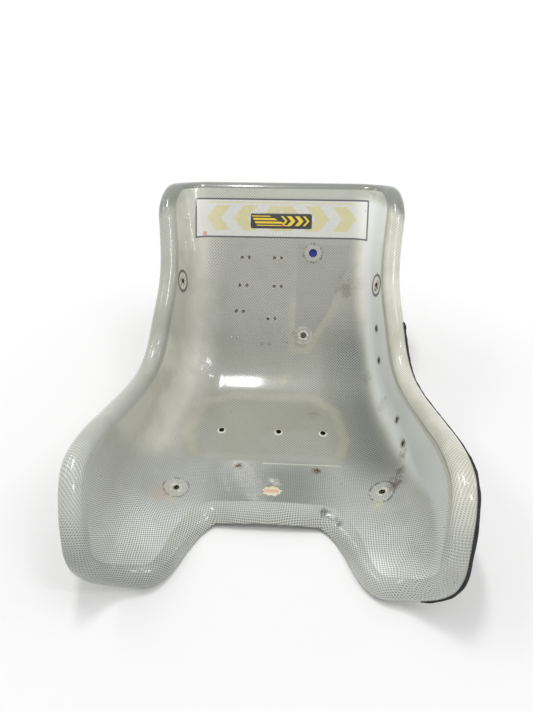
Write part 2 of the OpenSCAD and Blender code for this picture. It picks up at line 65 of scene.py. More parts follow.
def ease(start: float, stop: float, x: Array) -> Array:
    """Smooth step of x from 0 at start to 1 at stop."""
    u = np.clip((x - start) / (stop - start), 0, 1)
    return u * u * (3 - 2 * u)


def unit(v: Array) -> Array:
    """Vectors of length 1 along the last axis."""
    return v / np.linalg.norm(v, axis=-1, keepdims=True)


class Ripple:
    """Gentle seeded unevenness: a sum of sine waves in space, within about -1 to 1."""

    def __init__(self, seed: int, wavelength: float, waves: int = 7) -> None:
        """Draws the waves.

        Args:
            seed: Number that fixes the draw.
            wavelength: Mean length of a wave in millimetres.
            waves: How many waves are summed.
        """
        draw = np.random.default_rng(seed)
        self.directions = unit(draw.normal(size=(waves, 3))) * 2 * math.pi / wavelength
        self.directions *= draw.uniform(0.6, 1.6, size=(waves, 1))
        self.phases = draw.uniform(0, 2 * math.pi, waves)

    def at(self, points: Array) -> Array:
        """Height of the unevenness at each point."""
        return np.sin(points @ self.directions.T + self.phases).sum(-1) / math.sqrt(2 * len(self.phases))


@dataclass(frozen=True)
class Roll:
    """Radius of the rolled edge at its inner skin, and how far it turns in degrees."""

    radius: float
    turn: float


@dataclass(frozen=True)
class TubForm:
    """Sizes of the moulding in millimetres, and the surface that they define.

    A place on its inner skin is q, along the spine from the leg tips, with a share from
    -1 to 1 round the section, positive on the driver's left.
    """

    ramp_len: float = 181.0
    ramp_slope: float = 6.0
    flat_len: float = 112.0
    bend_r: float = 117.0
    recline: float = 31.5
    back_len: float = 246.0
    tip_half_w: float = 174.0
    cutout_depth: float = 99.0
    cutout_floor_half_w: float = 51.0
    cutout_mouth_half_w: float = 145.0
    leg_corner_len: float = 22.0
    top_corner_len: float = 35.0
    pommel_h: float = 8.0
    pommel_half_w: float = 75.0
    laminate_t: float = 4.0
    ply_t: float = 2.5
    bond: float = 0.3
    side_roll: Roll = Roll(13.5, 150.0)
    tip_roll: Roll = Roll(15.5, 115.0)
    cutout_roll: Roll = Roll(30.0, 60.0)
    hip_lead: float = 20.0
    waist_lead: float = 10.0
    leg_roll_from: float = 20.0
    leg_roll_to: float = 160.0
    corner_share: float = 0.8
    # Wall direction, wall height, half width, corner radius and flare at each station
    sections: tuple = (
        (56.0, 54.0, 174.0, 60.0, 8.0), (67.0, 127.0, 189.0, 75.0, 8.0),
        (59.0, 102.0, 175.0, 80.0, 10.0), (42.5, 93.0, 163.0, 194 / 3, 14.0),
        (15.0, 72.0, 154.0, 42.0, 12.0), (10.0, 54.0, 164.0, 34.0, 12.0))

    @property
    def bottom_end(self) -> float:
        """Where the flat bottom ends along the spine."""
        return self.ramp_len + self.flat_len

    @property
    def bend_end(self) -> float:
        """Where the straight back begins along the spine."""
        return self.bottom_end + self.bend_r * math.radians(90 - self.recline)

    @property
    def spine_len(self) -> float:
        """Length of the whole spine."""
        return self.bend_end + self.back_len

    @property
    def floor_z(self) -> float:
        """Height of the inner skin on the flat bottom."""
        return self.ply_t + self.laminate_t

    @functools.cached_property
    def stations(self) -> tuple[Array, Array, Array]:
        """Places of the stations along the spine, their sections, and how fast these change.

        Returns:
            Distances along the spine, sections, and slopes of the sections.
        """
        q = np.array([0, 0.55 * self.ramp_len, self.bottom_end - self.hip_lead, self.bend_end - self.waist_lead,
                      self.bend_end + self.back_len / 2, self.spine_len])
        values = np.array(self.sections)
        low, high = np.maximum(np.arange(6) - 1, 0), np.minimum(np.arange(6) + 1, 5)
        return q, values, (values[high] - values[low]) / (q[high] - q[low])[:, None]

    def section_at(self, q: Array) -> Array:
        """Section along the spine, by a smooth curve through the stations.

        Args:
            q: Distances along the spine.

        Returns:
            Sizes of the section at each place.
        """
        knots, values, slopes = self.stations
        i = np.clip(np.searchsorted(knots, q, side="right") - 1, 0, len(knots) - 2)
        h = (knots[i + 1] - knots[i])[..., None]
        u = (q - knots[i])[..., None] / h
        return ((2 * u**3 - 3 * u**2 + 1) * values[i] + (u**3 - 2 * u**2 + u) * h * slopes[i]
                + (3 * u**2 - 2 * u**3) * values[i + 1] + (u**3 - u**2) * h * slopes[i + 1])

    def spine(self, q: Array) -> tuple[Array, Array]:
        """Inner skin on the centre line, as y and z.

        Args:
            q: Distances along the spine.

        Returns:
            Places to the back and heights.
        """
        turn = np.clip((q - self.bottom_end) / self.bend_r, 0, math.radians(90 - self.recline))
        ahead, up = np.maximum(self.ramp_len - q, 0), np.maximum(q - self.bend_end, 0)
        slope, lean = math.radians(self.ramp_slope), math.radians(self.recline)
        y = (np.clip(q, self.ramp_len, self.bottom_end) - self.ramp_len - self.flat_len / 2
             - ahead * math.cos(slope) + self.bend_r * np.sin(turn) + up * math.sin(lean))
        z = self.floor_z + ahead * math.sin(slope) + self.bend_r * (1 - np.cos(turn)) + up * math.cos(lean)
        return y, z

    @staticmethod
    def half_section(s: Array) -> tuple[Array, Array, Array]:
        """Lengths of the flat floor, the corner and the wall of half a section.

        Args:
            s: Sizes of sections.

        Returns:
            The three lengths in millimetres.
        """
        flare = np.radians(s[..., 4])
        arc = math.pi / 2 - flare
        wall = (s[..., 1] - s[..., 3] * (1 - np.cos(arc))) / np.cos(flare)
        return s[..., 2] - s[..., 3] * np.sin(arc) - wall * np.sin(flare), s[..., 3] * arc, wall

    def section_len(self, q: Array) -> Array:
        """Length of half the section."""
        return sum(self.half_section(self.section_at(np.asarray(q, float))))

    def skin(self, q: Array, share: Array) -> Array:
        """Points of the inner skin.

        Args:
            q: Distances along the spine.
            share: Shares of the section, from -1 to 1.

        Returns:
            Points in millimetres.
        """
        q, share = np.broadcast_arrays(np.asarray(q, float), np.asarray(share, float))
        s = self.section_at(q)
        floor, corner, wall = self.half_section(s)
        along = np.abs(share) * (floor + corner + wall)
        flare, lean = np.radians(s[..., 4]), np.radians(s[..., 0])
        turn = np.clip((along - floor) / s[..., 3], 0, math.pi / 2 - flare)
        straight = np.maximum(along - floor - corner, 0)
        x = np.minimum(along, floor) + s[..., 3] * np.sin(turn) + straight * np.sin(flare)
        rise = s[..., 3] * (1 - np.cos(turn)) + straight * np.cos(flare)
        swell = (self.pommel_h * np.exp(-(x / self.pommel_half_w) ** 2)
                 * ease(0, self.ramp_len - self.cutout_depth / 2, self.ramp_len - q))
        y, z = self.spine(q)
        return np.stack([np.sign(share) * x, y - rise * np.cos(lean), z + rise * np.sin(lean) + swell], -1)

    def normal(self, q: Array, share: Array) -> Array:
        """Unit normals of the inner skin, towards the driver."""
        q, share = np.asarray(q, float), np.asarray(share, float)
        return unit(np.cross(self.skin(q, share + 0.002) - self.skin(q, share - 0.002),
                             self.skin(q + 0.5, share) - self.skin(q - 0.5, share)))

    def behind(self, q: Array, share: Array, depth: Array | float) -> Array:
        """Points at a depth behind the inner skin."""
        return self.skin(q, share) - np.asarray(depth)[..., None] * self.normal(q, share)

    def place_over(self, x: float, y: float, guess: tuple[float, float]) -> tuple[float, float]:
        """Finds the place of the skin above a point of the ground.

        Args:
            x: Distance to the driver's left.
            y: Distance behind the origin.
            guess: A first place, as q and share.

        Returns:
            The place, as q and share.
        """
        q, share = guess
        for _ in range(12):
            p = self.skin(q, share)
            dq, ds = self.skin(q + 1, share) - p, (self.skin(q, share + 0.002) - p) / 0.002
            step = np.linalg.solve([[dq[0], ds[0]], [dq[1], ds[1]]], [x - p[0], y - p[1]])
            q, share = q + step[0], share + step[1]
        return float(q), float(share)

    def corner_cut(self, share: Array, length: float) -> Array:
        """How much a rounded corner takes off the spine coordinate."""
        c = np.maximum(np.abs(share) - self.corner_share, 0) / (1 - self.corner_share)
        return length * (1 - np.sqrt(np.maximum(1 - c * c, 0)))

    def front_q(self, share: Array) -> Array:
        """Where the moulding starts, with the cut-out between the legs.

        Args:
            share: Shares of the section, from -1 to 1.

        Returns:
            Distances along the spine in millimetres.
        """
        reach = np.abs(share) * 1.25 * self.tip_half_w
        cutout = self.cutout_depth * (1 - ease(self.cutout_floor_half_w, self.cutout_mouth_half_w, reach))
        return cutout + self.corner_cut(share, self.leg_corner_len)

    def rear_q(self, share: Array) -> Array:
        """Where the moulding ends at the top."""
        return self.spine_len - self.corner_cut(share, self.top_corner_len)

    def roll_at(self, q: Array, share: Array) -> tuple[Array, Array]:
        """Radius and turn of the rolled edge, the turn in degrees.

        Args:
            q: Distances along the spine.
            share: Shares of the section, from -1 to 1.

        Returns:
            Radii in millimetres and turns in degrees.
        """
        upper = q > self.spine_len / 2
        fore = np.where(np.abs(share) < 1, 1.0, 1 - ease(self.leg_roll_from, self.leg_roll_to, q))
        notch = 1 - ease(0.8 * self.cutout_floor_half_w, 1.05 * self.cutout_mouth_half_w,
                         np.abs(share) * 1.25 * self.tip_half_w)
        fore = np.where(upper, 0.0, fore)
        notch = np.where(upper | (np.abs(share) > 0.98), 0.0, notch)
        return tuple(a + (b - a) * fore + (c - b) * notch
                     for a, b, c in ((self.side_roll.radius, self.tip_roll.radius, self.cutout_roll.radius),
                                     (self.side_roll.turn, self.tip_roll.turn, self.cutout_roll.turn)))


def grid_quads(rows: int, cols: int, facing: bool = True) -> Array:
    """Faces of a grid of points.

    Args:
        rows: Cells down the grid.
        cols: Cells across it.
        facing: Whether the faces look to the side from which rows and columns run anticlockwise.

    Returns:
        One row of four point numbers for each face.
    """
    a = (np.arange(rows)[:, None] * (cols + 1) + np.arange(cols)[None, :]).ravel()
    quads = np.stack([a, a + cols + 1, a + cols + 2, a + 1], -1)
    return quads if facing else quads[:, ::-1]


def ring_quads(rings: int, count: int, facing: bool = True) -> Array:
    """Faces between closed rings of points, laid down ring by ring.

    Args:
        rings: How many rings.
        count: Points in each ring.
        facing: False turns the faces round.

    Returns:
        Point numbers of each face.
    """
    n = np.arange(count)
    a = (np.arange(rings - 1)[:, None] * count + n[None, :]).ravel()
    b = (np.arange(rings - 1)[:, None] * count + ((n + 1) % count)[None, :]).ravel()
    quads = np.stack([a, b, b + count, a + count], -1)
    return quads if facing else quads[:, ::-1]


def band_quads(a: Array, b: Array) -> Array:
    """Faces between two closed loops of point numbers."""
    return np.stack([a, np.roll(a, -1), np.roll(b, -1), b], -1)


def grid_border(rows: int, cols: int) -> Array:
    """Point numbers round a grid."""
    return np.array([*range(cols + 1), *[i * (cols + 1) + cols for i in range(1, rows + 1)],
                     *[rows * (cols + 1) + j for j in range(cols - 1, -1, -1)],
                     *[i * (cols + 1) for i in range(rows - 1, 0, -1)]])


class Clay:
    """Points, faces and per-point layers of one piece, until they become a Blender mesh."""

    def __init__(self) -> None:
        """Starts with nothing."""
        self.points: list[Array] = []
        self.faces: list[list[int]] = []
        self.slots: list[int] = []
        self.layers: dict[str, list[Array]] = {"cloth": [], "lay": []}
        self.count = 0

    def add(self, points: Array, faces: Iterable[Sequence[int]], slot: int = 0,
            cloth: Array | None = None, lay: Array | None = None) -> int:
        """Adds points and the faces between them.

        Args:
            points: One row of millimetres for each point.
            faces: Point numbers of each face, counted within these points.
            slot: Material slot of the faces.
            cloth: Cloth coordinates of the points, in millimetres.
            lay: Skin, share of the roll, and share of the section of each point.

        Returns:
            The number of the first new point.
        """
        start, points = self.count, np.asarray(points, float).reshape(-1, 3)
        blank = np.zeros_like(points)
        self.points.append(points)
        self.layers["cloth"].append(blank if cloth is None else np.asarray(cloth, float).reshape(-1, 3))
        self.layers["lay"].append(blank if lay is None else np.asarray(lay, float).reshape(-1, 3))
        self.count += len(points)
        self.join([[n + start for n in f] for f in np.asarray(faces).tolist()] if len(faces) else [], slot)
        return start

    def join(self, faces: Iterable[Sequence[int]], slot: int = 0) -> None:
        """Adds faces between points that are there already.

        Args:
            faces: Point numbers of each face.
            slot: Material slot of the faces.
        """
        faces = [list(f) for f in faces]
        self.faces += faces
        self.slots += [slot] * len(faces)

    def close_tube(self, start: int, rings: int, count: int, facing: bool = True) -> None:
        """Joins rings of points laid down one after another from a first point, and closes both ends.

        Args:
            start: Number of the first point.
            rings: How many rings there are.
            count: Points in each ring.
            facing: Whether the faces look away from rings that run anticlockwise.
        """
        first = np.arange(start, start + count)
        last = first + (rings - 1) * count
        self.join((ring_quads(rings, count, facing) + start).tolist())
        self.join([first[::-1].tolist(), last.tolist()] if facing else [first.tolist(), last[::-1].tolist()])

    def close_sheets(self, near: Array, far: Array, cloth: Array, rows: int, cols: int) -> None:
        """Adds two grids of points and closes the body between them.

        Args:
            near: Points of the sheet against the laminate.
            far: Points of the sheet that faces outward.
            cloth: Cloth coordinates of both.
            rows: Cells down each grid.
            cols: Cells across it.
        """
        start = self.add(near, grid_quads(rows, cols, False), 0, cloth)
        self.add(far, grid_quads(rows, cols, True), 0, cloth)
        border = start + grid_border(rows, cols)
        self.join(band_quads(border, border + (rows + 1) * (cols + 1)).tolist())

    @staticmethod
    def face_out(mesh: bpy.types.Mesh) -> None:
        """Turns every face of a closed mesh outward.

        Args:
            mesh: The closed mesh.
        """
        work = bmesh.new()
        work.from_mesh(mesh)
        bmesh.ops.recalc_face_normals(work, faces=work.faces)
        work.to_mesh(mesh)
        work.free()

    def fire(self, name: str, materials: Sequence[bpy.types.Material], crease: float = 38.0) -> bpy.types.Object:
        """Makes the mesh and its object.

        Args:
            name: Name of the piece.
            materials: Its materials, slot by slot.
            crease: Angle in degrees over which an edge stays sharp.

        Returns:
            The object, in the scene.
        """
        mesh = bpy.data.meshes.new(name)
        mesh.from_pydata((np.concatenate(self.points) * METRE).tolist(), [], self.faces)
        mesh.polygons.foreach_set("material_index", np.array(self.slots, np.int32))
        for layer, parts in self.layers.items():
            mesh.attributes.new(layer, "FLOAT_VECTOR", "POINT").data.foreach_set(
                "vector", np.concatenate(parts).astype(np.float32).ravel())
        for material in materials:
            mesh.materials.append(material)
        mesh.update()
        self.face_out(mesh)
        smooth(mesh, crease)
        obj = bpy.data.objects.new(name, mesh)
        bpy.context.scene.collection.objects.link(obj)
        return obj


def smooth(mesh: bpy.types.Mesh, crease: float) -> None:
    """Shades a mesh smooth, with its edges over an angle in degrees left sharp."""
    mesh.shade_smooth()
    mesh.set_sharp_from_angle(angle=math.radians(crease))


def place(obj: bpy.types.Object, slot: str, *nodes: str) -> bpy.types.Object:
    """Makes a piece ride on the seat.

    Args:
        obj: The piece.
        slot: Material slot of the record that its finish stands for; not used.
        nodes: Solids that it stands for.

    Returns:
        The piece.
    """
    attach(obj, BODY)
    if nodes:
        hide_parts(*nodes)
    LOG.info("%s: %d points, for %s", obj.name, len(obj.data.vertices), ", ".join(nodes) or "detail")
    return obj


class Wire:
    """One socket of a material's nodes; arithmetic on it adds the nodes that work it out."""

    def __init__(self, paint: "Paint", socket: bpy.types.NodeSocket) -> None:
        """Wraps a socket of a paint's nodes."""
        self.paint = paint
        self.socket = socket

    def work(self, operation: str, *others: "Wire | float | Point", swap: bool = False) -> "Wire":
        """Adds a Math node, or a Vector Math node on a vector.

        Args:
            operation: The node's operation.
            others: Its other operands.
            swap: Whether this wire is the last operand instead of the first.

        Returns:
            The result.
        """
        operands = [*others, self] if swap else [self, *others]
        kind = "ShaderNodeMath" if self.socket.type == "VALUE" else "ShaderNodeVectorMath"
        return self.paint.take(kind, {"operation": operation}, dict(enumerate(operands)))

    def __add__(self, other: "Wire | float") -> "Wire":
        """Sum."""
        return self.work("ADD", other)

    def __radd__(self, other: float) -> "Wire":
        """Sum with a number on the left."""
        return self.work("ADD", other, swap=True)

    def __sub__(self, other: "Wire | float") -> "Wire":
        """Difference."""
        return self.work("SUBTRACT", other)

    def __rsub__(self, other: float) -> "Wire":
        """Difference from a number."""
        return self.work("SUBTRACT", other, swap=True)

    def __mul__(self, other: "Wire | float") -> "Wire":
        """Product."""
        return self.work("MULTIPLY", other)

    def __rmul__(self, other: float) -> "Wire":
        """Product with a number on the left."""
        return self.work("MULTIPLY", other, swap=True)

    def __truediv__(self, other: "Wire | float") -> "Wire":
        """Quotient."""
        return self.work("DIVIDE", other)

    def __abs__(self) -> "Wire":
        """Size without sign."""
        return self.work("ABSOLUTE")

    def fraction(self) -> "Wire":
        """Part after the decimal point."""
        return self.work("FRACT")

    def sine(self) -> "Wire":
        """Sine, of radians."""
        return self.work("SINE")

    def least(self, other: "Wire | float") -> "Wire":
        """The lower of two."""
        return self.work("MINIMUM", other)

    def most(self, other: "Wire | float") -> "Wire":
        """The higher of two."""
        return self.work("MAXIMUM", other)

    def step(self, start: float, stop: float) -> "Wire":
        """Smooth step from 0 at start to 1 at stop, which may lie lower."""
        return self.paint.take("ShaderNodeMapRange", {"interpolation_type": "SMOOTHSTEP"},
                               {"Value": self, "From Min": start, "From Max": stop})

    def bump_at(self, centre: float, width: float) -> "Wire":
        """1 at a value, and 0 from a width away on."""
        return abs(self - centre).step(width, 0.0)

    def bars(self, start: float, stop: float) -> "Wire":
        """Bars once per unit, by a smooth step of the distance from each unit's middle."""
        return abs(self.fraction() - 0.5).step(start, stop)

    def flat(self) -> tuple["Wire", "Wire"]:
        """The first two coordinates of a vector."""
        return self.part("X"), self.part("Y")

    def scaled(self, factor: "Wire | float") -> "Wire":
        """A vector times a number."""
        return self.paint.take("ShaderNodeVectorMath", {"operation": "SCALE"}, {0: self, "Scale": factor})

    def part(self, axis: str) -> "Wire":
        """One coordinate of a vector."""
        return self.paint.take("ShaderNodeSeparateXYZ", {}, {0: self}, axis)


class Paint:
    """The nodes of one material, or of the world."""

    def __init__(self, name: str, world: bpy.types.World | None = None) -> None:
        """Starts an empty material, or empties the world's nodes.

        Args:
            name: Name of the material.
            world: World whose nodes are taken instead.
        """
        self.material = world or bpy.data.materials.new(name)
        self.material.use_nodes = True
        self.tree = self.material.node_tree
        self.tree.nodes.clear()

    def node(self, kind: str, settings: dict | None = None, feeds: dict | None = None) -> bpy.types.Node:
        """Adds a node.

        Args:
            kind: Its type.
            settings: What is set before its sockets.
            feeds: A wire or a value for each socket, by name or number.

        Returns:
            The node.
        """
        node = self.tree.nodes.new(kind)
        for key, value in (settings or {}).items():
            setattr(node, key, value)
        for key, value in (feeds or {}).items():
            if isinstance(value, Wire):
                self.tree.links.new(value.socket, node.inputs[key])
            else:
                node.inputs[key].default_value = value
        return node

    def take(self, kind: str, settings: dict | None = None, feeds: dict | None = None,
             output: str | int = 0) -> Wire:
        """Adds a node and gives one of its outputs."""
        return Wire(self, self.node(kind, settings, feeds).outputs[output])

    def layer(self, name: str) -> Wire:
        """A per-point vector layer of the mesh."""
        return self.take("ShaderNodeAttribute", {"attribute_name": name}, output="Vector")

    @functools.cached_property
    def point(self) -> Wire:
        """Place on the piece, in millimetres of the frame."""
        return self.take("ShaderNodeTexCoord", output="Object") * (1000.0, 1000.0, 1000.0)

    def noise(self, at: Wire, size: float, detail: float = 2.0, roughness: float = 0.5,
              output: str = "Fac") -> Wire:
        """Soft noise with features of a size in millimetres."""
        return self.take("ShaderNodeTexNoise", {}, {"Vector": at, "Scale": 1 / size, "Detail": detail,
                                                    "Roughness": roughness}, output)

    def drift(self, at: Wire, size: float, detail: float) -> Wire:
        """Soft noise as a vector round nothing, with features of a size in millimetres."""
        return self.noise(at, size, detail, output="Color") - (0.5, 0.5, 0.5)

    def cells(self, at: Wire, size: float) -> Wire:
        """Distance from the middle of scattered cells of a size in millimetres."""
        return self.take("ShaderNodeTexVoronoi", {}, {"Vector": at, "Scale": 1 / size}, "Distance")

    def mix(self, share: Wire | float, low: Wire | Colour, high: Wire | Colour) -> Wire:
        """Blends two colours."""
        return self.take("ShaderNodeMix", {"data_type": "RGBA"}, {0: share, 6: low, 7: high}, 2)

    def over(self, base: Wire | Colour, *coats: tuple[Wire | float, Wire | Colour]) -> Wire:
        """Blends coats over a colour one after another, each a share and its colour."""
        for share, tone in coats:
            base = self.mix(share, base, tone)
        return base

    def away(self, centre: Point, at: Wire | None = None) -> Wire:
        """Distance from a point, in millimetres."""
        return self.take("ShaderNodeVectorMath", {"operation": "DISTANCE"}, {0: at or self.point, 1: centre}, "Value")

    def finish(self, base: Wire | Colour, roughness: Wire | float, height: Wire | None = None,
               **settings: float | Wire) -> bpy.types.Material:
        """Closes the material with a Principled shader.

        Args:
            base: Colour.
            roughness: Roughness.
            height: Relief in millimetres.
            settings: Values of the shader's other sockets, with _ for a space.

        Returns:
            The material.
        """
        feeds = {"Base Color": base, "Roughness": roughness}
        feeds |= {key.replace("_", " "): value for key, value in settings.items()}
        if height is not None:
            feeds["Normal"] = self.take("ShaderNodeBump", {}, {"Strength": 1.0, "Distance": METRE,
                                                               "Height": height}, "Normal")
        shader = self.take("ShaderNodeBsdfPrincipled", {}, feeds, "BSDF")
        self.node("ShaderNodeOutputMaterial", {}, {"Surface": shader})
        return self.material


@dataclass(frozen=True)
class Drilling:
    """One hole through the laminate: its middle on the inner skin, its axis and its diameter."""

    centre: Point
    axis: Point
    diameter: float
    ragged: float = 0.0


class Holes:
    """Every hole of the seat, where the solids have it."""

    MOUNT_D = 8.5
    STAY_D = 10.5
    PLUG_D = 13.0
    BALLAST_D = 8.0
    TIE_D = 4.4
    OLD_D = 6.5
    TIE_PITCH = 11.5
    SIDE_PLACE = (516.946, 0.878434)
    STAY = (11.5, 41.0)
    PLUG = (145.14, 53.0)

    def __init__(self, form: TubForm) -> None:
        """Works out the places on the moulding.

        Args:
            form: The moulding.
        """
        self.form = form
        self.lower = [form.place_over(142.0, -117.0, (124.0, 0.6)), form.place_over(-121.0, -117.0, (120.0, -0.5))]
        self.ballast = [(x, 2.0) for x in (-77.0, 7.0, 72.0)]
        self.filled_ties = self.ties(((3.03, 1.04), (3.03, 0.07), (2.03, 1.09), (2.01, 0.06),
                                      (1.08, 1.19), (0.83, 0.22)))
        self.open_ties = self.ties(((0.12, 1.33), (-0.1, 0.37)))
        bend, flat = form.bend_end, form.bottom_end
        self.old_wall = [(bend + 0.09 * form.back_len, 0.827), (flat + 0.69 * (bend - flat), 0.818),
                         (form.ramp_len + 0.57 * form.flat_len, 0.803), (form.ramp_len + 0.14 * form.flat_len, 0.748)]
        self.old_base = [(0.92 * form.ramp_len, -0.166), (0.9 * form.ramp_len, 0.224)]

    def ties(self, pairs: Iterable[tuple[float, float]]) -> list[tuple[float, float]]:
        """Places of tie holes as q and x, from rows and columns of 45 by 54 mm."""
        return [(self.form.bend_end + 45.0 * row, side * self.TIE_PITCH / 2 - 54.0 * column)
                for row, column in pairs for side in (-1, 1)]

    def on_back(self, q: float, x: float, diameter: float, ragged: float = 0.0) -> Drilling:
        """A hole square to the back.

        Args:
            q: Distance along the spine.
            x: Distance to the left of the centre line.
            diameter: Diameter in millimetres.
            ragged: Raggedness of its edge in millimetres.

        Returns:
            The hole.
        """
        y, z = self.form.spine(np.array(q))
        lean = math.radians(self.form.recline)
        return Drilling((x, float(y), float(z)), (0.0, -math.cos(lean), math.sin(lean)), diameter, ragged)

    def on_skin(self, q: float, share: float, diameter: float, ragged: float = 0.0) -> Drilling:
        """A hole square to the skin."""
        return Drilling(tuple(self.form.skin(q, share)), tuple(self.form.normal(q, share)), diameter, ragged)

    def upright(self, x: float, y: float, z: float, diameter: float, ragged: float = 0.0) -> Drilling:
        """A hole drilled straight down."""
        return Drilling((x, y, z), (0.0, 0.0, 1.0), diameter, ragged)

    def mounts(self) -> list[Drilling]:
        """Lower and side mounting holes, then the stay hole.

        Returns:
            The five holes, the left one of each pair first.
        """
        lower = [self.upright(*self.form.skin(q, s), self.MOUNT_D, 0.5) for q, s in self.lower]
        sides = [self.on_skin(self.SIDE_PLACE[0], side * self.SIDE_PLACE[1], self.MOUNT_D, 0.3) for side in (1, -1)]
        return lower + sides + [self.on_back(self.form.bend_end + self.STAY[0], self.STAY[1], self.STAY_D, 0.2)]

    def plug(self) -> Drilling:
        """The hole that the plastic plug closes."""
        return self.on_back(self.form.bend_end + self.PLUG[0], self.PLUG[1], self.PLUG_D)

    def bottom(self) -> list[Drilling]:
        """Ballast holes."""
        return [self.upright(x, y, self.form.floor_z, self.BALLAST_D, 0.25) for x, y in self.ballast]

    def every(self) -> list[Drilling]:
        """All the holes of the laminate.

        Returns:
            The holes in the order in which they are drilled.
        """
        ties = [self.on_back(q, x, self.TIE_D, 0.15) for q, x in self.filled_ties + self.open_ties]
        old = [self.on_skin(q, s, self.OLD_D, 0.2) for q, s in self.old_wall + self.old_base]
        return [*self.mounts(), self.plug(), *self.bottom(), *ties, *old]


def axes_of(axis: Sequence[float]) -> tuple[Array, Array, Array]:
    """Two directions across an axis, and the axis, each of length 1.

    Args:
        axis: Direction of any length.

    Returns:
        Two unit vectors across it, then its own.
    """
    n = unit(np.array(axis, float))
    u = unit(np.cross([1.0, 0.2, 0.0] if abs(n[0]) < 0.8 else [0.0, 1.0, 0.2], n))
    return u, np.cross(n, u), n


def spokes(axis: Sequence[float], sides: int) -> tuple[Array, Array, Array]:
    """Angles round an axis, the direction out at each, and the axis itself.

    Args:
        axis: Direction of the axis.
        sides: How many spokes.

    Returns:
        Angles in radians, unit vectors outward, and the unit axis.
    """
    u, v, n = axes_of(axis)
    angles = np.arange(sides) * 2 * math.pi / sides
    return angles, np.cos(angles)[:, None] * u + np.sin(angles)[:, None] * v, n


class Drill:
    """Cuts holes through a piece."""

    SIDES = 32
    REACH = 14.0

    def __init__(self, holes: Iterable[Drilling], seed: int = 3) -> None:
        """Keeps the holes, and the seed of their raggedness."""
        self.holes = list(holes)
        self.draw = np.random.default_rng(seed)

    def cutter(self, material: bpy.types.Material | None) -> bpy.types.Object:
        """Makes one mesh of all the drilled cores.

        Args:
            material: Material of the walls of the holes, if any.

        Returns:
            The object that is cut away.
        """
        clay = Clay()
        for hole in self.holes:
            angles, spoke, n = spokes(hole.axis, self.SIDES)
            phase = self.draw.uniform(0, 2 * math.pi, 3)
            wave = sum(np.sin(k * angles + phase[k - 2]) for k in (2, 3, 4)) / 3
            radius = hole.diameter / 2 + hole.ragged * (wave - abs(wave))
            ring, levels = spoke * radius[:, None], (-self.REACH, self.REACH)
            rings = np.concatenate([np.array(hole.centre) + ring + level * n for level in levels])
            clay.close_tube(clay.add(rings, []), len(levels), self.SIDES)
        return clay.fire("core", [material] if material else [])

    def cut(self, obj: bpy.types.Object, edge: bpy.types.Material | None = None, crease: float = 38.0) -> None:
        """Drills the holes through a piece.

        Args:
            obj: The piece, which gets a new mesh.
            edge: Material of the holes' walls.
            crease: Angle in degrees over which an edge stays sharp.
        """
        core = self.cutter(edge)
        tool = obj.modifiers.new("drill", "BOOLEAN")
        tool.operation, tool.object, tool.solver = "DIFFERENCE", core, "EXACT"
        tool.material_mode = "TRANSFER"
        graph = bpy.context.evaluated_depsgraph_get()
        drilled = bpy.data.meshes.new_from_object(obj.evaluated_get(graph), preserve_all_data_layers=True,
                                                  depsgraph=graph)
        obj.modifiers.clear()
        old, obj.data = obj.data, drilled
        drilled.name = obj.name
        bpy.data.meshes.remove(old)
        bpy.data.objects.remove(core)
        smooth(drilled, crease)


@dataclass(frozen=True)
class PanelDesign:
    """Plain pattern of the large film: pale chevrons that run outward, and a small square."""

    half_len: float = 140.0
    half_w: float = 31.0
    chevron: float = 44.0
    grey: Colour = srgb(246, 246, 243)
    band: Colour = srgb(240, 230, 156)
    line: Colour = srgb(52, 58, 62)
    accent: Colour = srgb(226, 118, 62)

    def chevrons(self, across: Wire, up: Wire) -> Wire:
        """Where the chevrons are, from places along and across the film.

        Args:
            across: Place along the film.
            up: Place across the film.

        Returns:
            1 inside the chevrons.
        """
        run = (abs(across) + abs(up) * 0.8) / self.chevron
        bars = run.bars(0.27, 0.25)
        return bars * abs(across).step(126.0, 125.0) * abs(up).step(20.5, 19.8)

    def stripe(self, across: Wire, up: Wire) -> Wire:
        """Where the thin upper band is."""
        return up.bump_at(25.0, 1.6).step(0.2, 0.5) * abs(across).step(118.0, 117.0)

    def outline(self, across: Wire, up: Wire) -> Wire:
        """Where the thin line round the film is."""
        edge = (self.half_len - abs(across)).least(self.half_w - abs(up))
        return edge.step(2.4, 1.7)

    def square(self, across: Wire, up: Wire) -> Wire:
        """Where the small accent is."""
        return abs(across + 124.0).most(abs(up + 25.5)).step(3.4, 2.8)

    def colour(self, paint: Paint, across: Wire, up: Wire) -> Wire:
        """Colours of the printed film."""
        return paint.over(self.grey, (self.chevrons(across, up), self.band), (self.stripe(across, up), self.band),
                          (self.square(across, up), self.accent), (self.outline(across, up), self.line))


@dataclass(frozen=True)
class Print:
    """Print of a washer round a hole: radius, strength, how broken it is, colour, and half its line's width."""

    hole: Drilling
    radius: float
    strength: float
    broken: float
    tone: Colour
    width: float = 2.2


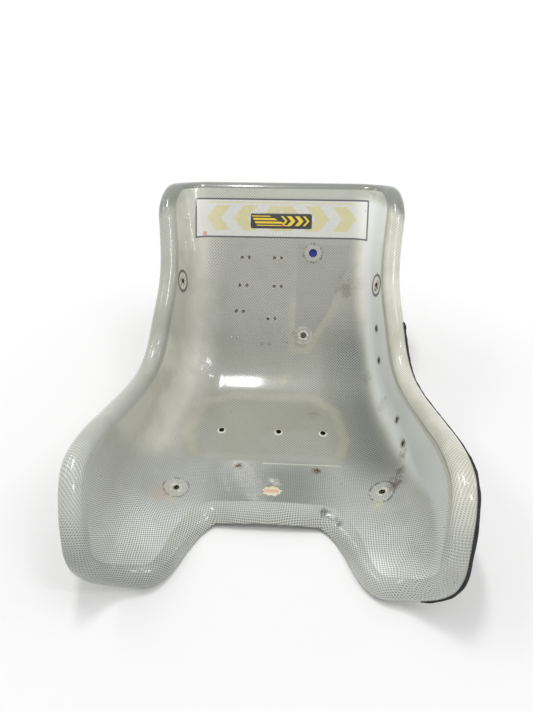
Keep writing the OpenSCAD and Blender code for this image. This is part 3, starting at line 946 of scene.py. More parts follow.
class Zones:
    """Where each kind of surface lies on the moulding, as wires from 0 to 1."""

    def __init__(self, paint: Paint, form: TubForm) -> None:
        """Works out the zones.

        Args:
            paint: The material.
            form: The moulding.
        """
        cloth, lay = paint.layer("cloth"), paint.layer("lay")
        self.w, self.q = cloth.flat()
        self.cloth = cloth
        outer, self.rolled, share = lay.part("X"), lay.part("Y"), lay.part("Z")
        self.inner = 1.0 - outer
        away = abs(share)
        self.left = share.step(-0.1, 0.1)
        self.right = 1.0 - self.left
        self.fore = self.q.step(200.0, 150.0)
        self.back = self.q.step(330.0, 410.0)
        self.wall = away.step(0.55, 0.68)
        self.floor = (1.0 - self.fore) * (1.0 - self.back) * (1.0 - self.wall)
        self.rim = (self.rolled.step(0.0, 0.06) + away.step(0.965, 0.995)).least(1.0)
        # Painted light: a paler glow over the corner and the wall on the driver's right
        self.painted_glow = self.right * away.step(0.4, 0.64)
        ahead = self.q.step(112.0, 172.0)
        inside = 1.0 - self.rim
        up_wall = away - self.q.step(150.0, 30.0) * 0.2
        self.bare = self.left * up_wall.step(0.64, 0.74) * self.q.step(6.0, 50.0) * inside
        # Painted shade: a dark band down the corner next to the bare wall on the driver's left, where the weave's gaps
        # also show stronger
        self.painted_corner_shade = self.left * away.step(0.3, 0.56) * away.step(0.74, 0.6) * ahead * self.q.step(475.0, 375.0)
        self.dull = self.left * away.step(0.26, 0.38) * away.step(0.78, 0.66) * ahead * self.q.step(520.0, 400.0)
        self.dull = self.dull.most(self.rim * self.fore * abs(self.w).step(80.0, 62.0))
        self.side_roll = self.rim * away.step(0.86, 0.97) * self.q.step(10.0, 60.0)
        self.outer_roll = self.side_roll * self.left * self.q.step(20.0, 90.0)
        self.middle = self.fore * abs(self.w).step(105.0, 35.0)
        self.top = self.q.step(form.spine_len - 22, form.spine_len - 8) * inside
        self.lip = self.rim * self.q.step(form.spine_len - 30, form.spine_len - 6)


@dataclass(frozen=True)
class LaminateFinish:
    """Clear resin over woven glass, with its plies, prints of washers and old dirt."""

    leg_pitch: float = 2.7
    back_pitch: float = 3.1
    wall_pitch: float = 2.6
    leg_tow: Colour = srgb(232, 235, 231)
    ramp_tow: Colour = srgb(183, 186, 179)
    floor_tow: Colour = srgb(164, 165, 152)
    middle_tow: Colour = srgb(145, 148, 141)
    back_tow: Colour = srgb(178, 178, 168)
    wall_tow: Colour = srgb(211, 210, 198)
    # Paler wall tone: painted light on the upper walls and in the glow
    painted_light_wall_tow: Colour = srgb(242, 241, 229)
    # Painted shade: tones of the dark corner band on the driver's left, darker down in the pan
    corner_shade_tow: Colour = srgb(168, 170, 164)
    pan_shade_tow: Colour = srgb(144, 146, 138)
    rim_tow: Colour = srgb(198, 200, 192)
    high_rim_tow: Colour = srgb(184, 186, 173)
    cream_tow: Colour = srgb(222, 221, 206)
    lip_tow: Colour = srgb(129, 132, 123)
    top_tow: Colour = srgb(200, 201, 189)
    tip_tow: Colour = srgb(176, 178, 175)
    bare_mat: Colour = srgb(222, 226, 222)
    # Pale tone of the leg tips on the driver's left, and painted light on the upper bare wall
    high_mat: Colour = srgb(240, 243, 240)
    gap: Colour = srgb(62, 74, 74)
    olive: Colour = srgb(134, 136, 112)
    rust: Colour = srgb(206, 150, 122)
    dirt: Colour = srgb(74, 60, 48)
    umber: Colour = srgb(106, 95, 72)
    straw: Colour = srgb(208, 202, 166)
    ink: Colour = srgb(44, 46, 48)
    chalk: Colour = srgb(236, 232, 216)
    # Outlines of what lies behind the resin, as places across and along the cloth
    PENNANT = ((27.0, 404.0), (55.0, 404.0), (80.0, 463.0), (110.0, 513.0), (112.0, 572.0), (27.0, 572.0))
    BASE = ((-110.0, 184.0), (92.0, 182.0), (103.0, 226.0), (90.0, 290.0), (60.0, 315.0), (-70.0, 315.0),
            (-112.0, 300.0), (-125.0, 230.0))

    @staticmethod
    def weave(w: Wire, q: Wire, turn: float, pitch: float, open_share: float) -> tuple[Wire, Wire]:
        """One layer of plain-woven cloth.

        Args:
            w: Cloth coordinate across.
            q: Cloth coordinate along.
            turn: Turn of the cloth in degrees.
            pitch: Distance between its tows in millimetres.
            open_share: How wide its gaps are, as a share of the pitch.

        Returns:
            Where its gaps are, and how its tows stand up.
        """
        c, s = math.cos(math.radians(turn)) / pitch, math.sin(math.radians(turn)) / pitch
        u, v = w * c + q * s, q * c - w * s
        soft = 0.13
        gap_u, gap_v = (part.bars(open_share / 2 + soft, open_share / 2 - soft) for part in (u, v))
        return gap_u * gap_v, (u * math.pi).sine() * (v * math.pi).sine()

    @staticmethod
    def depth(x: Wire, y: Wire, corners: Sequence[tuple[float, float]]) -> Wire:
        """How deep a place is inside a convex outline whose corners run anticlockwise.

        Args:
            x: First coordinate.
            y: Second coordinate.
            corners: Corners of the outline.

        Returns:
            Least distance to a side, positive inside.
        """
        found: Wire | None = None
        for (ax, ay), (bx, by) in zip(corners, [*corners[1:], corners[0]]):
            length = math.hypot(bx - ax, by - ay)
            nx, ny = -(by - ay) / length, (bx - ax) / length
            reach = x * nx + y * ny - (ax * nx + ay * ny)
            found = reach if found is None else found.least(reach)
        return found

    def drape(self, paint: Paint, cloth: Wire) -> Wire:
        """Cloth coordinates pulled about as the cloth was laid, most at a fold of one leg.

        Args:
            paint: The material.
            cloth: Cloth coordinates.

        Returns:
            The coordinates after the pull.
        """
        point = paint.point
        broad, close = paint.drift(point, 95.0, 1.0), paint.drift(point, 30.0, 2.0)
        fold = paint.away((76.0, -152.0, 18.0)).step(46.0, 8.0) * 9.0 + 2.2
        fold = fold + paint.away((170.0, -240.0, 52.0)).step(70.0, 15.0) * 10.0
        return self.bow(paint, cloth) + broad * (24.0, 24.0, 0.0) + close.scaled(fold)

    @staticmethod
    def bow(paint: Paint, cloth: Wire) -> Wire:
        """Cloth coordinates bent round the legs, whose tips pulled the cloth down.

        Args:
            paint: The material.
            cloth: Cloth coordinates.

        Returns:
            The coordinates after the bend.
        """
        w, q = cloth.flat()
        bend = ((abs(w) - 40.0) / 60.0).sine()
        ahead = q.step(170.0, 0.0)
        shift = paint.take("ShaderNodeCombineXYZ", {}, {"X": (q / 42.0).sine() * ahead * 5.0,
                                                        "Y": bend * ahead * -13.0}, "Vector")
        return cloth + shift

    def material(self, form: TubForm, holes: Holes, panel: PanelDesign) -> bpy.types.Material:
        """Builds the material.

        Args:
            form: The moulding.
            holes: Its holes.
            panel: The film that shows through the back.

        Returns:
            The material.
        """
        paint = Paint("laminate")
        zones, point = Zones(paint, form), paint.point
        draped = self.drape(paint, zones.cloth)
        w, q = draped.flat()
        cloudy = paint.noise(point, 42.0, 3.0, 0.55)
        fine = paint.noise(point, 6.0, 3.0, 0.6)

        # Cloth square to the legs, and on the bias on the back, the bottom, the walls and the roll
        square_gap, square_crimp = self.weave(w, q, 0.0, self.leg_pitch, 0.56)
        bias_gap, bias_crimp = self.weave(w, q, 45.0, self.back_pitch, 0.58)
        wall_gap, wall_crimp = self.weave(w, q, 52.0, self.wall_pitch, 0.5)
        fade = 1.0 - zones.bare * (0.96 - zones.fore * 0.45)
        side = (zones.wall + zones.rim).least(1.0)
        tip_pale = zones.q.step(46.0, 10.0) * zones.left
        leg_share = (zones.fore * (1.0 - zones.side_roll) * (0.68 + zones.q.step(105.0, 45.0) * 0.62)
                     * (1.0 - tip_pale * 0.45))
        bias_share = (zones.back * 0.6 + zones.floor * 0.62 + zones.painted_corner_shade * 0.75) * (1.0 - side) * (1.0 - zones.fore)
        wall_share = (side * (0.36 + zones.rim * 0.34 - zones.q.step(430.0, 520.0) * 0.14)
                      * (1.0 - zones.fore * (1.0 - zones.side_roll)))
        gaps = (square_gap * leg_share + bias_gap * bias_share + wall_gap * wall_share).least(1.0) * fade
        creased = paint.away((160.0, -242.0, 45.0)).step(62.0, 20.0)
        gaps = (gaps * (0.55 + cloudy * 0.9) * (1.0 + creased * 0.25)).least(1.0)
        crimp = (square_crimp * leg_share + bias_crimp * bias_share * 0.5 + wall_crimp * wall_share) * fade

        # Colour of the tows, zone by zone, with painted light and painted shade in some zones
        inland, up_back = 1.0 - zones.fore, zones.q.step(310.0, 365.0) * zones.q.step(430.0, 385.0) * 0.6
        tows = paint.over(
            self.floor_tow,
            (zones.fore, self.ramp_tow),
            (zones.q.step(115.0, 45.0) * (1.0 - zones.left * 0.25), self.leg_tow),
            (tip_pale * 0.9, self.high_mat),
            (zones.q.step(370.0, 470.0), self.back_tow),
            (zones.middle, self.middle_tow),
            # Painted light: the walls paler higher up, and the glow on the driver's right paler still in a band across
            # the bend
            (zones.wall * (1.0 - zones.fore * 0.6),
             paint.mix(zones.q.step(335.0, 445.0), self.wall_tow, self.painted_light_wall_tow)),
            (zones.painted_glow * inland, paint.mix(up_back, self.wall_tow, self.painted_light_wall_tow)),
            # painted shade of the corner band on the driver's left
            (zones.painted_corner_shade, paint.mix(zones.q.step(290.0, 350.0), self.pan_shade_tow, self.corner_shade_tow)),
            # Painted light: the bare wall paler higher up
            (zones.bare, paint.mix(zones.q.step(250.0, 440.0), self.bare_mat, self.high_mat)),
            (zones.rim, paint.mix(zones.q.step(170.0, 330.0), self.rim_tow, self.high_rim_tow)),
            (zones.outer_roll, self.cream_tow),
            (zones.top, self.top_tow),
            (zones.lip, self.lip_tow),
            (zones.q.step(34.0, 2.0) * (zones.rim * 0.6 + 0.4) * zones.right, self.tip_tow),
            (cloudy.step(0.56, 0.34) * 0.2 * (1.0 - zones.bare), self.olive))
        # Painted shade: a darker olive line in the crease where the roll stands up from the wall on the driver's left
        crease = zones.rolled.bump_at(0.03, 0.06) * zones.outer_roll * zones.inner
        body = paint.over(tows, (gaps * 0.86, self.gap), (crease * 0.3, self.olive))

        body = self.behind_resin(paint, form, panel, body, zones, fine)
        body, sunk = self.marks(paint, form, holes, body, zones)
        roughness = 0.26 + 0.14 * fine + 0.16 * (1.0 - zones.inner) + 0.04 * zones.bare + 0.4 * zones.dull
        height = crimp * 0.09 - gaps * 0.1 + (cloudy - 0.5) * 0.8 + fine * 0.1 - sunk * 0.25
        height = height + zones.rolled.step(0.015, 0.07) * zones.outer_roll * 0.9
        return paint.finish(body, roughness, height, Coat_Weight=0.85 - zones.dull * 0.82, Coat_Roughness=0.1)

    def behind_resin(self, paint: Paint, form: TubForm, panel: PanelDesign, body: Wire, zones: Zones,
                     fine: Wire) -> Wire:
        """Adds what shows through the laminate from behind it: plies and the printed film.

        Args:
            paint: The material.
            form: The moulding.
            panel: Design of the film.
            body: Colour so far.
            zones: Zones of the moulding.
            fine: Fine noise.

        Returns:
            The colour.
        """
        w, q, inner = zones.w, zones.q, zones.inner
        blur = (paint.noise(paint.point, 16.0, 3.0, 0.6) - 0.5) * 12.0
        pennant = self.depth(w, q, self.PENNANT) + blur * 0.4
        base = self.depth(w, q, self.BASE) + blur * 0.5
        veil = pennant.step(-15.0, -6.0) * pennant.step(3.0, -3.0) * q.step(500.0, 470.0)
        body = paint.over(
            body,
            (veil * inner * (0.08 + fine * 0.2), self.straw),
            (pennant.step(-1.0, 2.0) * inner * 0.1, self.gap),
            (base.step(-11.0, -3.0) * base.step(12.0, 2.0) * q.step(178.0, 200.0) * inner * (0.05 + fine * 0.24),
             self.straw),
            (base.step(4.0, 30.0) * q.step(215.0, 255.0) * inner * 0.16, self.olive),
            (q.bump_at(174.5, 1.8) * w.step(-14.0, -10.0) * w.step(98.0, 90.0) * inner * 0.55, self.chalk))
        up = q - (form.spine_len - FILM_BELOW_TOP)
        on_film = (abs(w).step(141.0, 140.0) * abs(up).step(32.0, 31.0)) * inner
        veiled = paint.mix(0.38 + fine * 0.24, panel.colour(paint, w, up), body)
        return paint.over(body, (on_film, veiled), (on_film * panel.outline(w, up) * 0.8, panel.line))

    def marks(self, paint: Paint, form: TubForm, holes: Holes, body: Wire, zones: Zones) -> tuple[Wire, Wire]:
        """Adds prints of washers, chips, stains and specks.

        Args:
            paint: The material.
            form: The moulding.
            holes: Its holes.
            body: Colour so far.
            zones: Zones of the moulding.

        Returns:
            The colour, and how far the surface is pressed in, from 0 to 1.
        """
        left, right, side_left, side_right, stay = holes.mounts()
        point, inner = paint.point, zones.inner
        broken = paint.noise(point, 8.0, 3.0, 0.7)
        scuff = paint.noise(point, 2.8, 3.0, 0.7)
        sunk = inner * 0.0
        for mark in (Print(left, 16.5, 0.8, 0.5, self.ink), Print(right, 16.5, 0.6, 0.52, self.ink),
                     Print(side_left, 15.5, 1.0, 0.36, self.ink, 4.0),
                     Print(side_right, 15.5, 1.0, 0.36, self.ink, 4.0), Print(stay, 13.5, 0.35, 0.5, self.chalk)):
            gone, drill = paint.away(mark.hole.centre), mark.hole.diameter / 2
            ring = gone.bump_at(mark.radius, mark.width) * broken.step(mark.broken - 0.08, mark.broken + 0.04) * inner
            body = paint.over(
                body,
                (gone.step(mark.radius, mark.radius - 3.0) * scuff.step(0.35, 0.7) * inner * 0.3, self.chalk),
                (ring * mark.strength, mark.tone),
                (gone.step(drill + 4.5, drill + 1.0) * scuff.step(0.42, 0.54) * inner * 0.9, self.chalk))
            sunk = sunk + gone.step(mark.radius, mark.radius - 1.2) * 0.5
        round_plug = paint.away(holes.plug().centre)
        dots = paint.cells(point, 3.4).step(0.5, 0.3) * round_plug.bump_at(15.2, 2.8).step(0.0, 0.6) * inner
        body = paint.over(body, (round_plug.step(14.5, 11.5) * inner * (0.05 + scuff * 0.2), self.chalk),
                          (dots * 0.8, self.ink))
        for side in (side_left, side_right):
            gone = paint.away(side.centre)
            body = paint.over(body, (gone.step(13.0, 10.0) * scuff.step(0.3, 0.42) * inner * 0.95, self.chalk),
                              (gone.bump_at(7.5, 3.4) * broken.step(0.46, 0.54) * inner * 0.9, self.ink))
        for centre, radius, strength, tone in self.stains():
            spread = paint.away(centre) + (broken - 0.5) * radius * 2.6 + (scuff - 0.5) * radius
            body = paint.mix(spread.step(radius, 0.0) * strength * inner * (0.4 + scuff), body, tone)
        for q, share in holes.old_wall + holes.old_base:
            gone = paint.away(tuple(form.skin(q, share)))
            body = paint.over(body, (gone.bump_at(4.8, 2.2) * broken.step(0.36, 0.5) * inner * 0.8, self.dirt),
                              (gone.step(10.0, 4.0) * scuff * inner * 0.4, self.umber),
                              (gone.step(6.0, 3.0) * scuff.step(0.52, 0.6) * inner * 0.9, self.chalk))
        for q, x in holes.filled_ties:
            gone = paint.away(holes.on_back(q, x, 1.0).centre)
            body = paint.over(body, (gone.step(4.6, 2.2) * scuff.step(0.45, 0.6) * inner * 0.6, self.dirt),
                              (gone.bump_at(3.4, 1.6) * scuff.step(0.5, 0.4) * inner * 0.45, self.chalk))
        for hole in holes.bottom():
            x, y, z = hole.centre
            rim = paint.away((x, y - 1.6, z)).bump_at(4.9, 1.9) * scuff.step(0.25, 0.45) * inner
            body = paint.mix(rim * 0.95, body, self.chalk)
        speck = paint.cells(point, 26.0).step(0.05, 0.025) * broken.step(0.45, 0.6)
        body = paint.over(body, (paint.away((-165.0, -272.0, 48.0)).step(3.0, 2.0) * 0.95, self.ink),
                          (speck * 0.9, self.dirt))
        return body, sunk

    def stains(self) -> tuple[tuple[Point, float, float, Colour], ...]:
        """Marks in the resin: centre in millimetres, radius, strength and colour."""
        return (
            ((-135.0, -131.0, 20.0), 20.0, 0.27, self.rust), ((-121.0, -139.0, 17.0), 13.0, 0.2, self.straw),
            ((137.0, -136.0, 20.0), 12.0, 0.5, self.straw), ((157.0, -112.0, 33.0), 14.0, 0.9, self.dirt),
            ((164.0, -98.0, 40.0), 11.0, 0.75, self.dirt), ((169.0, -78.0, 49.0), 12.0, 0.6, self.umber),
            ((2.0, -96.0, 13.0), 7.0, 0.8, self.chalk), ((172.0, -60.0, 55.0), 10.0, 0.35, self.umber),
            ((106.0, 202.0, 139.0), 19.0, 0.55, self.umber), ((9.0, 108.0, 19.0), 17.0, 0.3, self.straw),
            ((143.0, 279.0, 273.0), 11.0, 0.5, self.umber), ((28.0, 163.0, 74.0), 9.0, 0.55, self.umber),
            ((141.0, 98.0, 40.0), 15.0, 0.35, self.umber), ((158.0, 30.0, 42.0), 18.0, 0.3, self.umber),
            ((70.0, -150.0, 18.0), 10.0, 0.8, self.gap), ((84.0, -163.0, 20.0), 9.0, 0.8, self.gap),
            ((8.0, -103.0, 14.0), 8.0, 0.5, self.chalk), ((60.0, 42.0, 7.0), 12.0, 0.3, self.umber))


@dataclass(frozen=True)
class RawEdgeFinish:
    """Cut laminate: layers of glass in dull resin."""

    pale: Colour = srgb(196, 194, 172)
    dark: Colour = srgb(88, 84, 74)
    dirt: Colour = srgb(30, 28, 26)
    # Share of dark patches: dirt on the cut edge, and painted shade as well where the finish lines the holes
    dirt_and_shade_share: float = 0.35

    def material(self, name: str) -> bpy.types.Material:
        """Builds the material under a name.

        Args:
            name: Its name.

        Returns:
            The material.
        """
        paint = Paint(name)
        layers = paint.noise(paint.point * (1.0, 1.0, 2.6), 1.1, 3.0, 0.7)
        patches = paint.noise(paint.point, 12.0, 2.0)
        body = paint.over(self.dark, (layers.step(0.35, 0.65), self.pale),
                          (patches.step(0.7, 0.3) * self.dirt_and_shade_share + self.dirt_and_shade_share * 0.5, self.dirt))
        return paint.finish(body, 0.5 + layers * 0.35, layers * 0.3)


@dataclass(frozen=True)
class PlyFinish:
    """Hand-laid reinforcing ply: coarser cloth in yellowed resin, dull and uneven."""

    pitch: float = 4.2
    tow: Colour = srgb(205, 202, 178)
    gap: Colour = srgb(126, 124, 104)
    stain: Colour = srgb(150, 138, 104)

    def material(self) -> bpy.types.Material:
        """Builds the material.

        Returns:
            The material.
        """
        paint = Paint("ply")
        cloth = paint.layer("cloth")
        bend = paint.drift(paint.point, 30.0, 2.0)
        cloth = cloth + bend.scaled(5.0)
        u, v = (part / self.pitch for part in cloth.flat())
        gap = u.bars(0.36, 0.18) * v.bars(0.36, 0.18)
        crimp = (u * math.pi).sine() * (v * math.pi).sine()
        cloudy = paint.noise(paint.point, 18.0, 3.0, 0.6)
        body = paint.over(self.tow, (gap * 0.7, self.gap), (cloudy.step(0.45, 0.75) * 0.5, self.stain))
        return paint.finish(body, 0.42 + cloudy * 0.3, crimp * 0.28 - gap * 0.2 + cloudy * 0.8, Coat_Weight=0.12,
                            Coat_Roughness=0.2)


@dataclass(frozen=True)
class FilmFinish:
    """Printed film of the rear panel."""

    design: PanelDesign = PanelDesign()
    worn: Colour = srgb(206, 206, 200)

    def material(self) -> bpy.types.Material:
        """Builds the material.

        Returns:
            The material.
        """
        paint = Paint("panel_film")
        across, up = paint.layer("cloth").flat()
        scuffed = paint.noise(paint.point * (1.0, 3.0, 3.0), 6.0, 4.0, 0.7)
        body = paint.mix(scuffed.step(0.62, 0.8) * 0.25, self.design.colour(paint, across, up), self.worn)
        return paint.finish(body, 0.22 + scuffed * 0.25, scuffed * 0.05, Coat_Weight=0.5, Coat_Roughness=0.1)


@dataclass(frozen=True)
class BadgeFinish:
    """Doming resin over a black plate with yellow bars and chevrons."""

    black: Colour = srgb(16, 18, 20)
    yellow: Colour = srgb(238, 204, 24)
    red: Colour = srgb(206, 40, 62)
    dust: Colour = srgb(150, 150, 140)

    def material(self) -> bpy.types.Material:
        """Builds the material.

        Returns:
            The material.
        """
        paint = Paint("badge_film")
        place_on = paint.layer("cloth")
        x, y = place_on.flat()
        slant = x + y * 0.55
        bars = (y / 5.4).bars(0.31, 0.27) * abs(y).step(8.3, 7.9)
        bars = bars * slant.step(-44.0, -43.4) * (slant + y * 1.5).step(-2.6, -3.2)
        run = x + abs(y) * 0.9
        chevrons = (run / 13.0).bars(0.29, 0.26) * abs(y).step(8.0, 7.6) * run.step(6.2, 6.8) * run.step(45.9, 45.2)
        dust = paint.noise(paint.point, 2.2, 4.0, 0.7)
        body = paint.over(self.black, ((bars + chevrons).least(1.0), self.yellow),
                          (paint.away((1.6, -6.4, 0.0), place_on).step(1.9, 1.5), self.red),
                          (dust.step(0.6, 0.85) * 0.18, self.dust))
        return paint.finish(body, 0.16 + dust * 0.22, dust * 0.03, Coat_Weight=0.7, Coat_Roughness=0.06)


@dataclass(frozen=True)
class TabFinish:
    """Paper tab under the resin: cream, with a faded bar."""

    cream: Colour = srgb(226, 216, 188)
    bar: Colour = srgb(222, 170, 148)
    thread: Colour = srgb(170, 172, 160)

    def material(self) -> bpy.types.Material:
        """Builds the material.

        Returns:
            The material.
        """
        paint = Paint("tab_film")
        x, y = paint.layer("cloth").flat()
        soft = paint.noise(paint.point, 2.6, 3.0)
        bar = abs(x + soft * 1.5).step(9.6, 8.6) * abs(y - 0.4 + soft).step(3.4, 2.6)
        net = (x / 3.0).bars(0.3, 0.16) * (y / 3.0).bars(0.3, 0.16)
        body = paint.over(self.cream, (bar * 0.85, self.bar), (net * 0.35, self.thread))
        return paint.finish(body, 0.3 + soft * 0.2, soft * 0.15, Coat_Weight=0.4, Coat_Roughness=0.1)


@dataclass(frozen=True)
class PlainFinish:
    """A mottled finish for small moulded pieces: two tones, speckle and relief."""

    name: str
    dark: Colour
    light: Colour
    size: float
    roughness: float
    relief: float
    coat: float = 0.0
    pores: float = 0.0

    def material(self) -> bpy.types.Material:
        """Builds the material.

        Returns:
            The material.
        """
        paint = Paint(self.name)
        soft = paint.noise(paint.point, self.size, 4.0, 0.65)
        fine = paint.noise(paint.point, self.size / 5, 2.0)
        body = paint.mix(soft.step(0.3, 0.72), self.dark, self.light)
        height = soft * self.relief + fine * self.relief * 0.4
        if self.pores:
            # Painted shade: the pores much darker than the foam round them, and sunk in the relief
            pore = paint.cells(paint.point, self.pores).step(0.42, 0.12)
            body = paint.mix(pore * 0.7, body, tuple(c * 0.3 for c in self.dark[:3]) + (1.0,))
            height = height - pore * self.relief
        return paint.finish(body, self.roughness + (fine - 0.5) * 0.2, height, Coat_Weight=self.coat)


@dataclass(frozen=True)
class Builder:
    """What every builder of pieces works from: the moulding's form and its holes."""

    form: TubForm
    holes: Holes


class Tub(Builder):
    """The glass-fibre bucket itself, with its rolled edge and all its holes."""

    ROWS = 190
    FLOOR_COLS = 58
    CORNER_COLS = 18
    ROLL_STEPS = 18
    EDGE_STEPS = 4
    EDGE_BULGE = 1.2

    def columns(self) -> Array:
        """Shares of the section at the grid's columns, closer together at the corners.

        Returns:
            Shares from one edge to the other.
        """
        k = np.arange(self.FLOOR_COLS + self.CORNER_COLS + 1)
        corner = np.sin(math.pi / 2 * np.clip(k - self.FLOOR_COLS, 0, None) / self.CORNER_COLS)
        c = self.form.corner_share
        half = np.where(k <= self.FLOOR_COLS, c * k / self.FLOOR_COLS, c + (1 - c) * corner)
        return np.concatenate([-half[:0:-1], half])

    def places(self) -> tuple[Array, Array]:
        """Every grid place, as arrays of q and of share.

        Returns:
            Both arrays, with a row for each station of the grid.
        """
        share = np.broadcast_to(self.columns(), (self.ROWS + 1, 2 * (self.FLOOR_COLS + self.CORNER_COLS) + 1))
        part = (np.arange(self.ROWS + 1) / self.ROWS)[:, None]
        front, rear = self.form.front_q(share), self.form.rear_q(share)
        return front + (rear - front) * part, share

    def cloth_of(self, q: Array, share: Array) -> Array:
        """Cloth coordinates of places: across, along and nothing."""
        return np.stack([share * self.form.section_len(q), q, np.zeros_like(q)], -1)

    def cloth_outward(self, q: Array, share: Array, out: Array) -> Array:
        """Direction of the cloth's coordinates when it runs on outward over the edge.

        Args:
            q: Distances along the spine.
            share: Shares of the section, from -1 to 1.
            out: Unit vectors outward at the edge.

        Returns:
            Change of the cloth coordinates for each millimetre outward.
        """
        w = share * self.form.section_len(q)
        across = self.form.skin(q, (w + 1) / self.form.section_len(q)) - self.form.skin(q, share)
        along = self.form.skin(q + 1, w / self.form.section_len(q + 1)) - self.form.skin(q, share)
        aa, bb, ab = (across**2).sum(-1), (along**2).sum(-1), (across * along).sum(-1)
        ao, bo = (across * out).sum(-1), (along * out).sum(-1)
        det = aa * bb - ab * ab
        return np.stack([(ao * bb - bo * ab) / det, (bo * aa - ao * ab) / det, np.zeros_like(q)], -1)

    def build(self, laminate: bpy.types.Material, edge: bpy.types.Material,
              bore: bpy.types.Material) -> bpy.types.Object:
        """Builds the drilled bucket.

        Args:
            laminate: Material of its skins.
            edge: Material of its cut edge.
            bore: Material of the holes' walls.

        Returns:
            The piece.
        """
        form, clay = self.form, Clay()
        q, share = (a.ravel() for a in self.places())
        rows, cols = self.ROWS, 2 * (self.FLOOR_COLS + self.CORNER_COLS)
        wave = Ripple(11, 70.0).at(form.skin(q, share)) * 0.18
        normal, skin, cloth = form.normal(q, share), form.skin(q, share), self.cloth_of(q, share)
        border = grid_border(rows, cols)
        calm = np.ones((rows + 1, cols + 1))
        calm[0], calm[-1], calm[:, 0], calm[:, -1] = 0, 0, 0, 0
        wave = wave * calm.ravel()
        lay = np.stack([np.zeros_like(q), np.zeros_like(q), share], -1)
        inner = clay.add(skin + wave[:, None] * normal, grid_quads(rows, cols, False), 0, cloth, lay)
        outer = clay.add(skin - (form.laminate_t - wave[:, None]) * normal, grid_quads(rows, cols, True), 0,
                         cloth, lay + [1, 0, 0])

        bq, bs, bp, bn = q[border], share[border], skin[border], normal[border]
        along = unit(np.roll(bp, -1, 0) - np.roll(bp, 1, 0))
        up = unit(bn - (bn * along).sum(-1, keepdims=True) * along)
        out = np.cross(along, up)
        radius, turn = form.roll_at(bq, bs)
        trim = Ripple(5, 45.0).at(bp) * 0.5
        turn = np.radians(turn) - (self.EDGE_BULGE + 0.3 - trim) / radius
        outward = self.cloth_outward(bq, bs, out)
        t, count = form.laminate_t, len(border)

        def ring(part: float, depth: float, bulge: float = 0.0) -> Array:
            """Points round the edge, at a share of its turn and a depth outside the inner skin.

            Args:
                part: Share of the turn of the edge.
                depth: Depth outside the inner skin in millimetres.
                bulge: Push ahead in millimetres.

            Returns:
                One point for each place of the edge.
            """
            angle = (turn * part)[:, None]
            r = radius[:, None]
            ahead = np.cos(angle) * out - np.sin(angle) * up
            return bp - r * up + (r - depth) * (np.sin(angle) * out + np.cos(angle) * up) + bulge * ahead

        def layers(part: float, skin_no: float) -> tuple[Array, Array]:
            """Cloth and lay layers of such a ring.

            Args:
                part: Share of the turn of the edge.
                skin_no: 0 for the inner skin and 1 for the outer.

            Returns:
                Cloth coordinates and lay of each point.
            """
            reach = (radius * turn * part)[:, None]
            lay_rows = np.stack([np.full(count, skin_no), np.full(count, part), bs], -1)
            return self.cloth_of(bq, bs) + outward * reach, lay_rows

        rings = [(k / self.ROLL_STEPS, 0.0, 0.0, 0) for k in range(1, self.ROLL_STEPS + 1)]
        rings += [(1.0, t / 2 - t / 2 * math.cos(a), self.EDGE_BULGE * math.sin(a), 1)
                  for a in (math.pi * k / self.EDGE_STEPS for k in range(1, self.EDGE_STEPS))]
        rings += [(k / self.ROLL_STEPS, t, 0.0, 0) for k in range(self.ROLL_STEPS, 0, -1)]
        numbers, slots = [inner + border], []
        for n, (part, depth, bulge, slot) in enumerate(rings):
            cloth_rows, lay_rows = layers(part, depth / t)
            start = clay.add(ring(part, depth, bulge), [], 0, cloth_rows, lay_rows)
            numbers.append(start + np.arange(count))
            slots.append(1 if slot or (n and rings[n - 1][3]) else 0)
        numbers.append(outer + border)
        slots.append(0)
        for a, b, slot in zip(numbers, numbers[1:], slots):
            clay.join(band_quads(a, b).tolist(), slot)
        tub = clay.fire("glass_tub", [laminate, edge], 50.0)
        Drill(self.holes.every()).cut(tub, bore, 40.0)
        return place(tub, "laminate", "seat_shell")


@dataclass(frozen=True)
class SkinPatch:
    """A thin piece that follows the laminate, with a rounded or a straight outline.

    Places are q and w, its distance round the section. Depths count from the inner skin.
    """

    q: float
    w: float
    half_along: float
    half_across: float
    near: float
    thickness: float
    roundness: float
    cells: tuple[int, int] = (24, 24)
    feather: float = 0.0
    ragged: float = 0.0
    seed: int = 1

    def clay(self, form: TubForm) -> Clay:
        """Makes the closed body.

        Args:
            form: The moulding.

        Returns:
            The body, with its own places as cloth coordinates.
        """
        rows, cols = self.cells
        s, t = np.meshgrid(np.linspace(-1, 1, rows + 1), np.linspace(-1, 1, cols + 1), indexing="ij")
        along = s * np.sqrt(1 - self.roundness * t * t / 2)
        across = t * np.sqrt(1 - self.roundness * s * s / 2)
        wild = Ripple(self.seed, 0.9).at(np.stack([along, across, 0 * s], -1))
        grow = 1 + self.ragged * wild * np.maximum(abs(s), abs(t)) ** 4
        a, b = self.half_along * along * grow, self.half_across * across * grow
        q = self.q + a
        share = (self.w + b) / form.section_len(q)
        edge = np.maximum(abs(s), abs(t))
        thick = self.thickness * (1 - self.feather * ease(0.72, 1.0, edge))
        thick = thick + self.feather * 0.3 * Ripple(self.seed + 50, 14.0).at(form.skin(q, share)) * (1 - edge**6)
        body = Clay()
        body.close_sheets(form.behind(q, share, np.full_like(q, self.near)), form.behind(q, share, self.near + thick),
                          np.stack([b, a, 0 * s], -1), rows, cols)
        return body


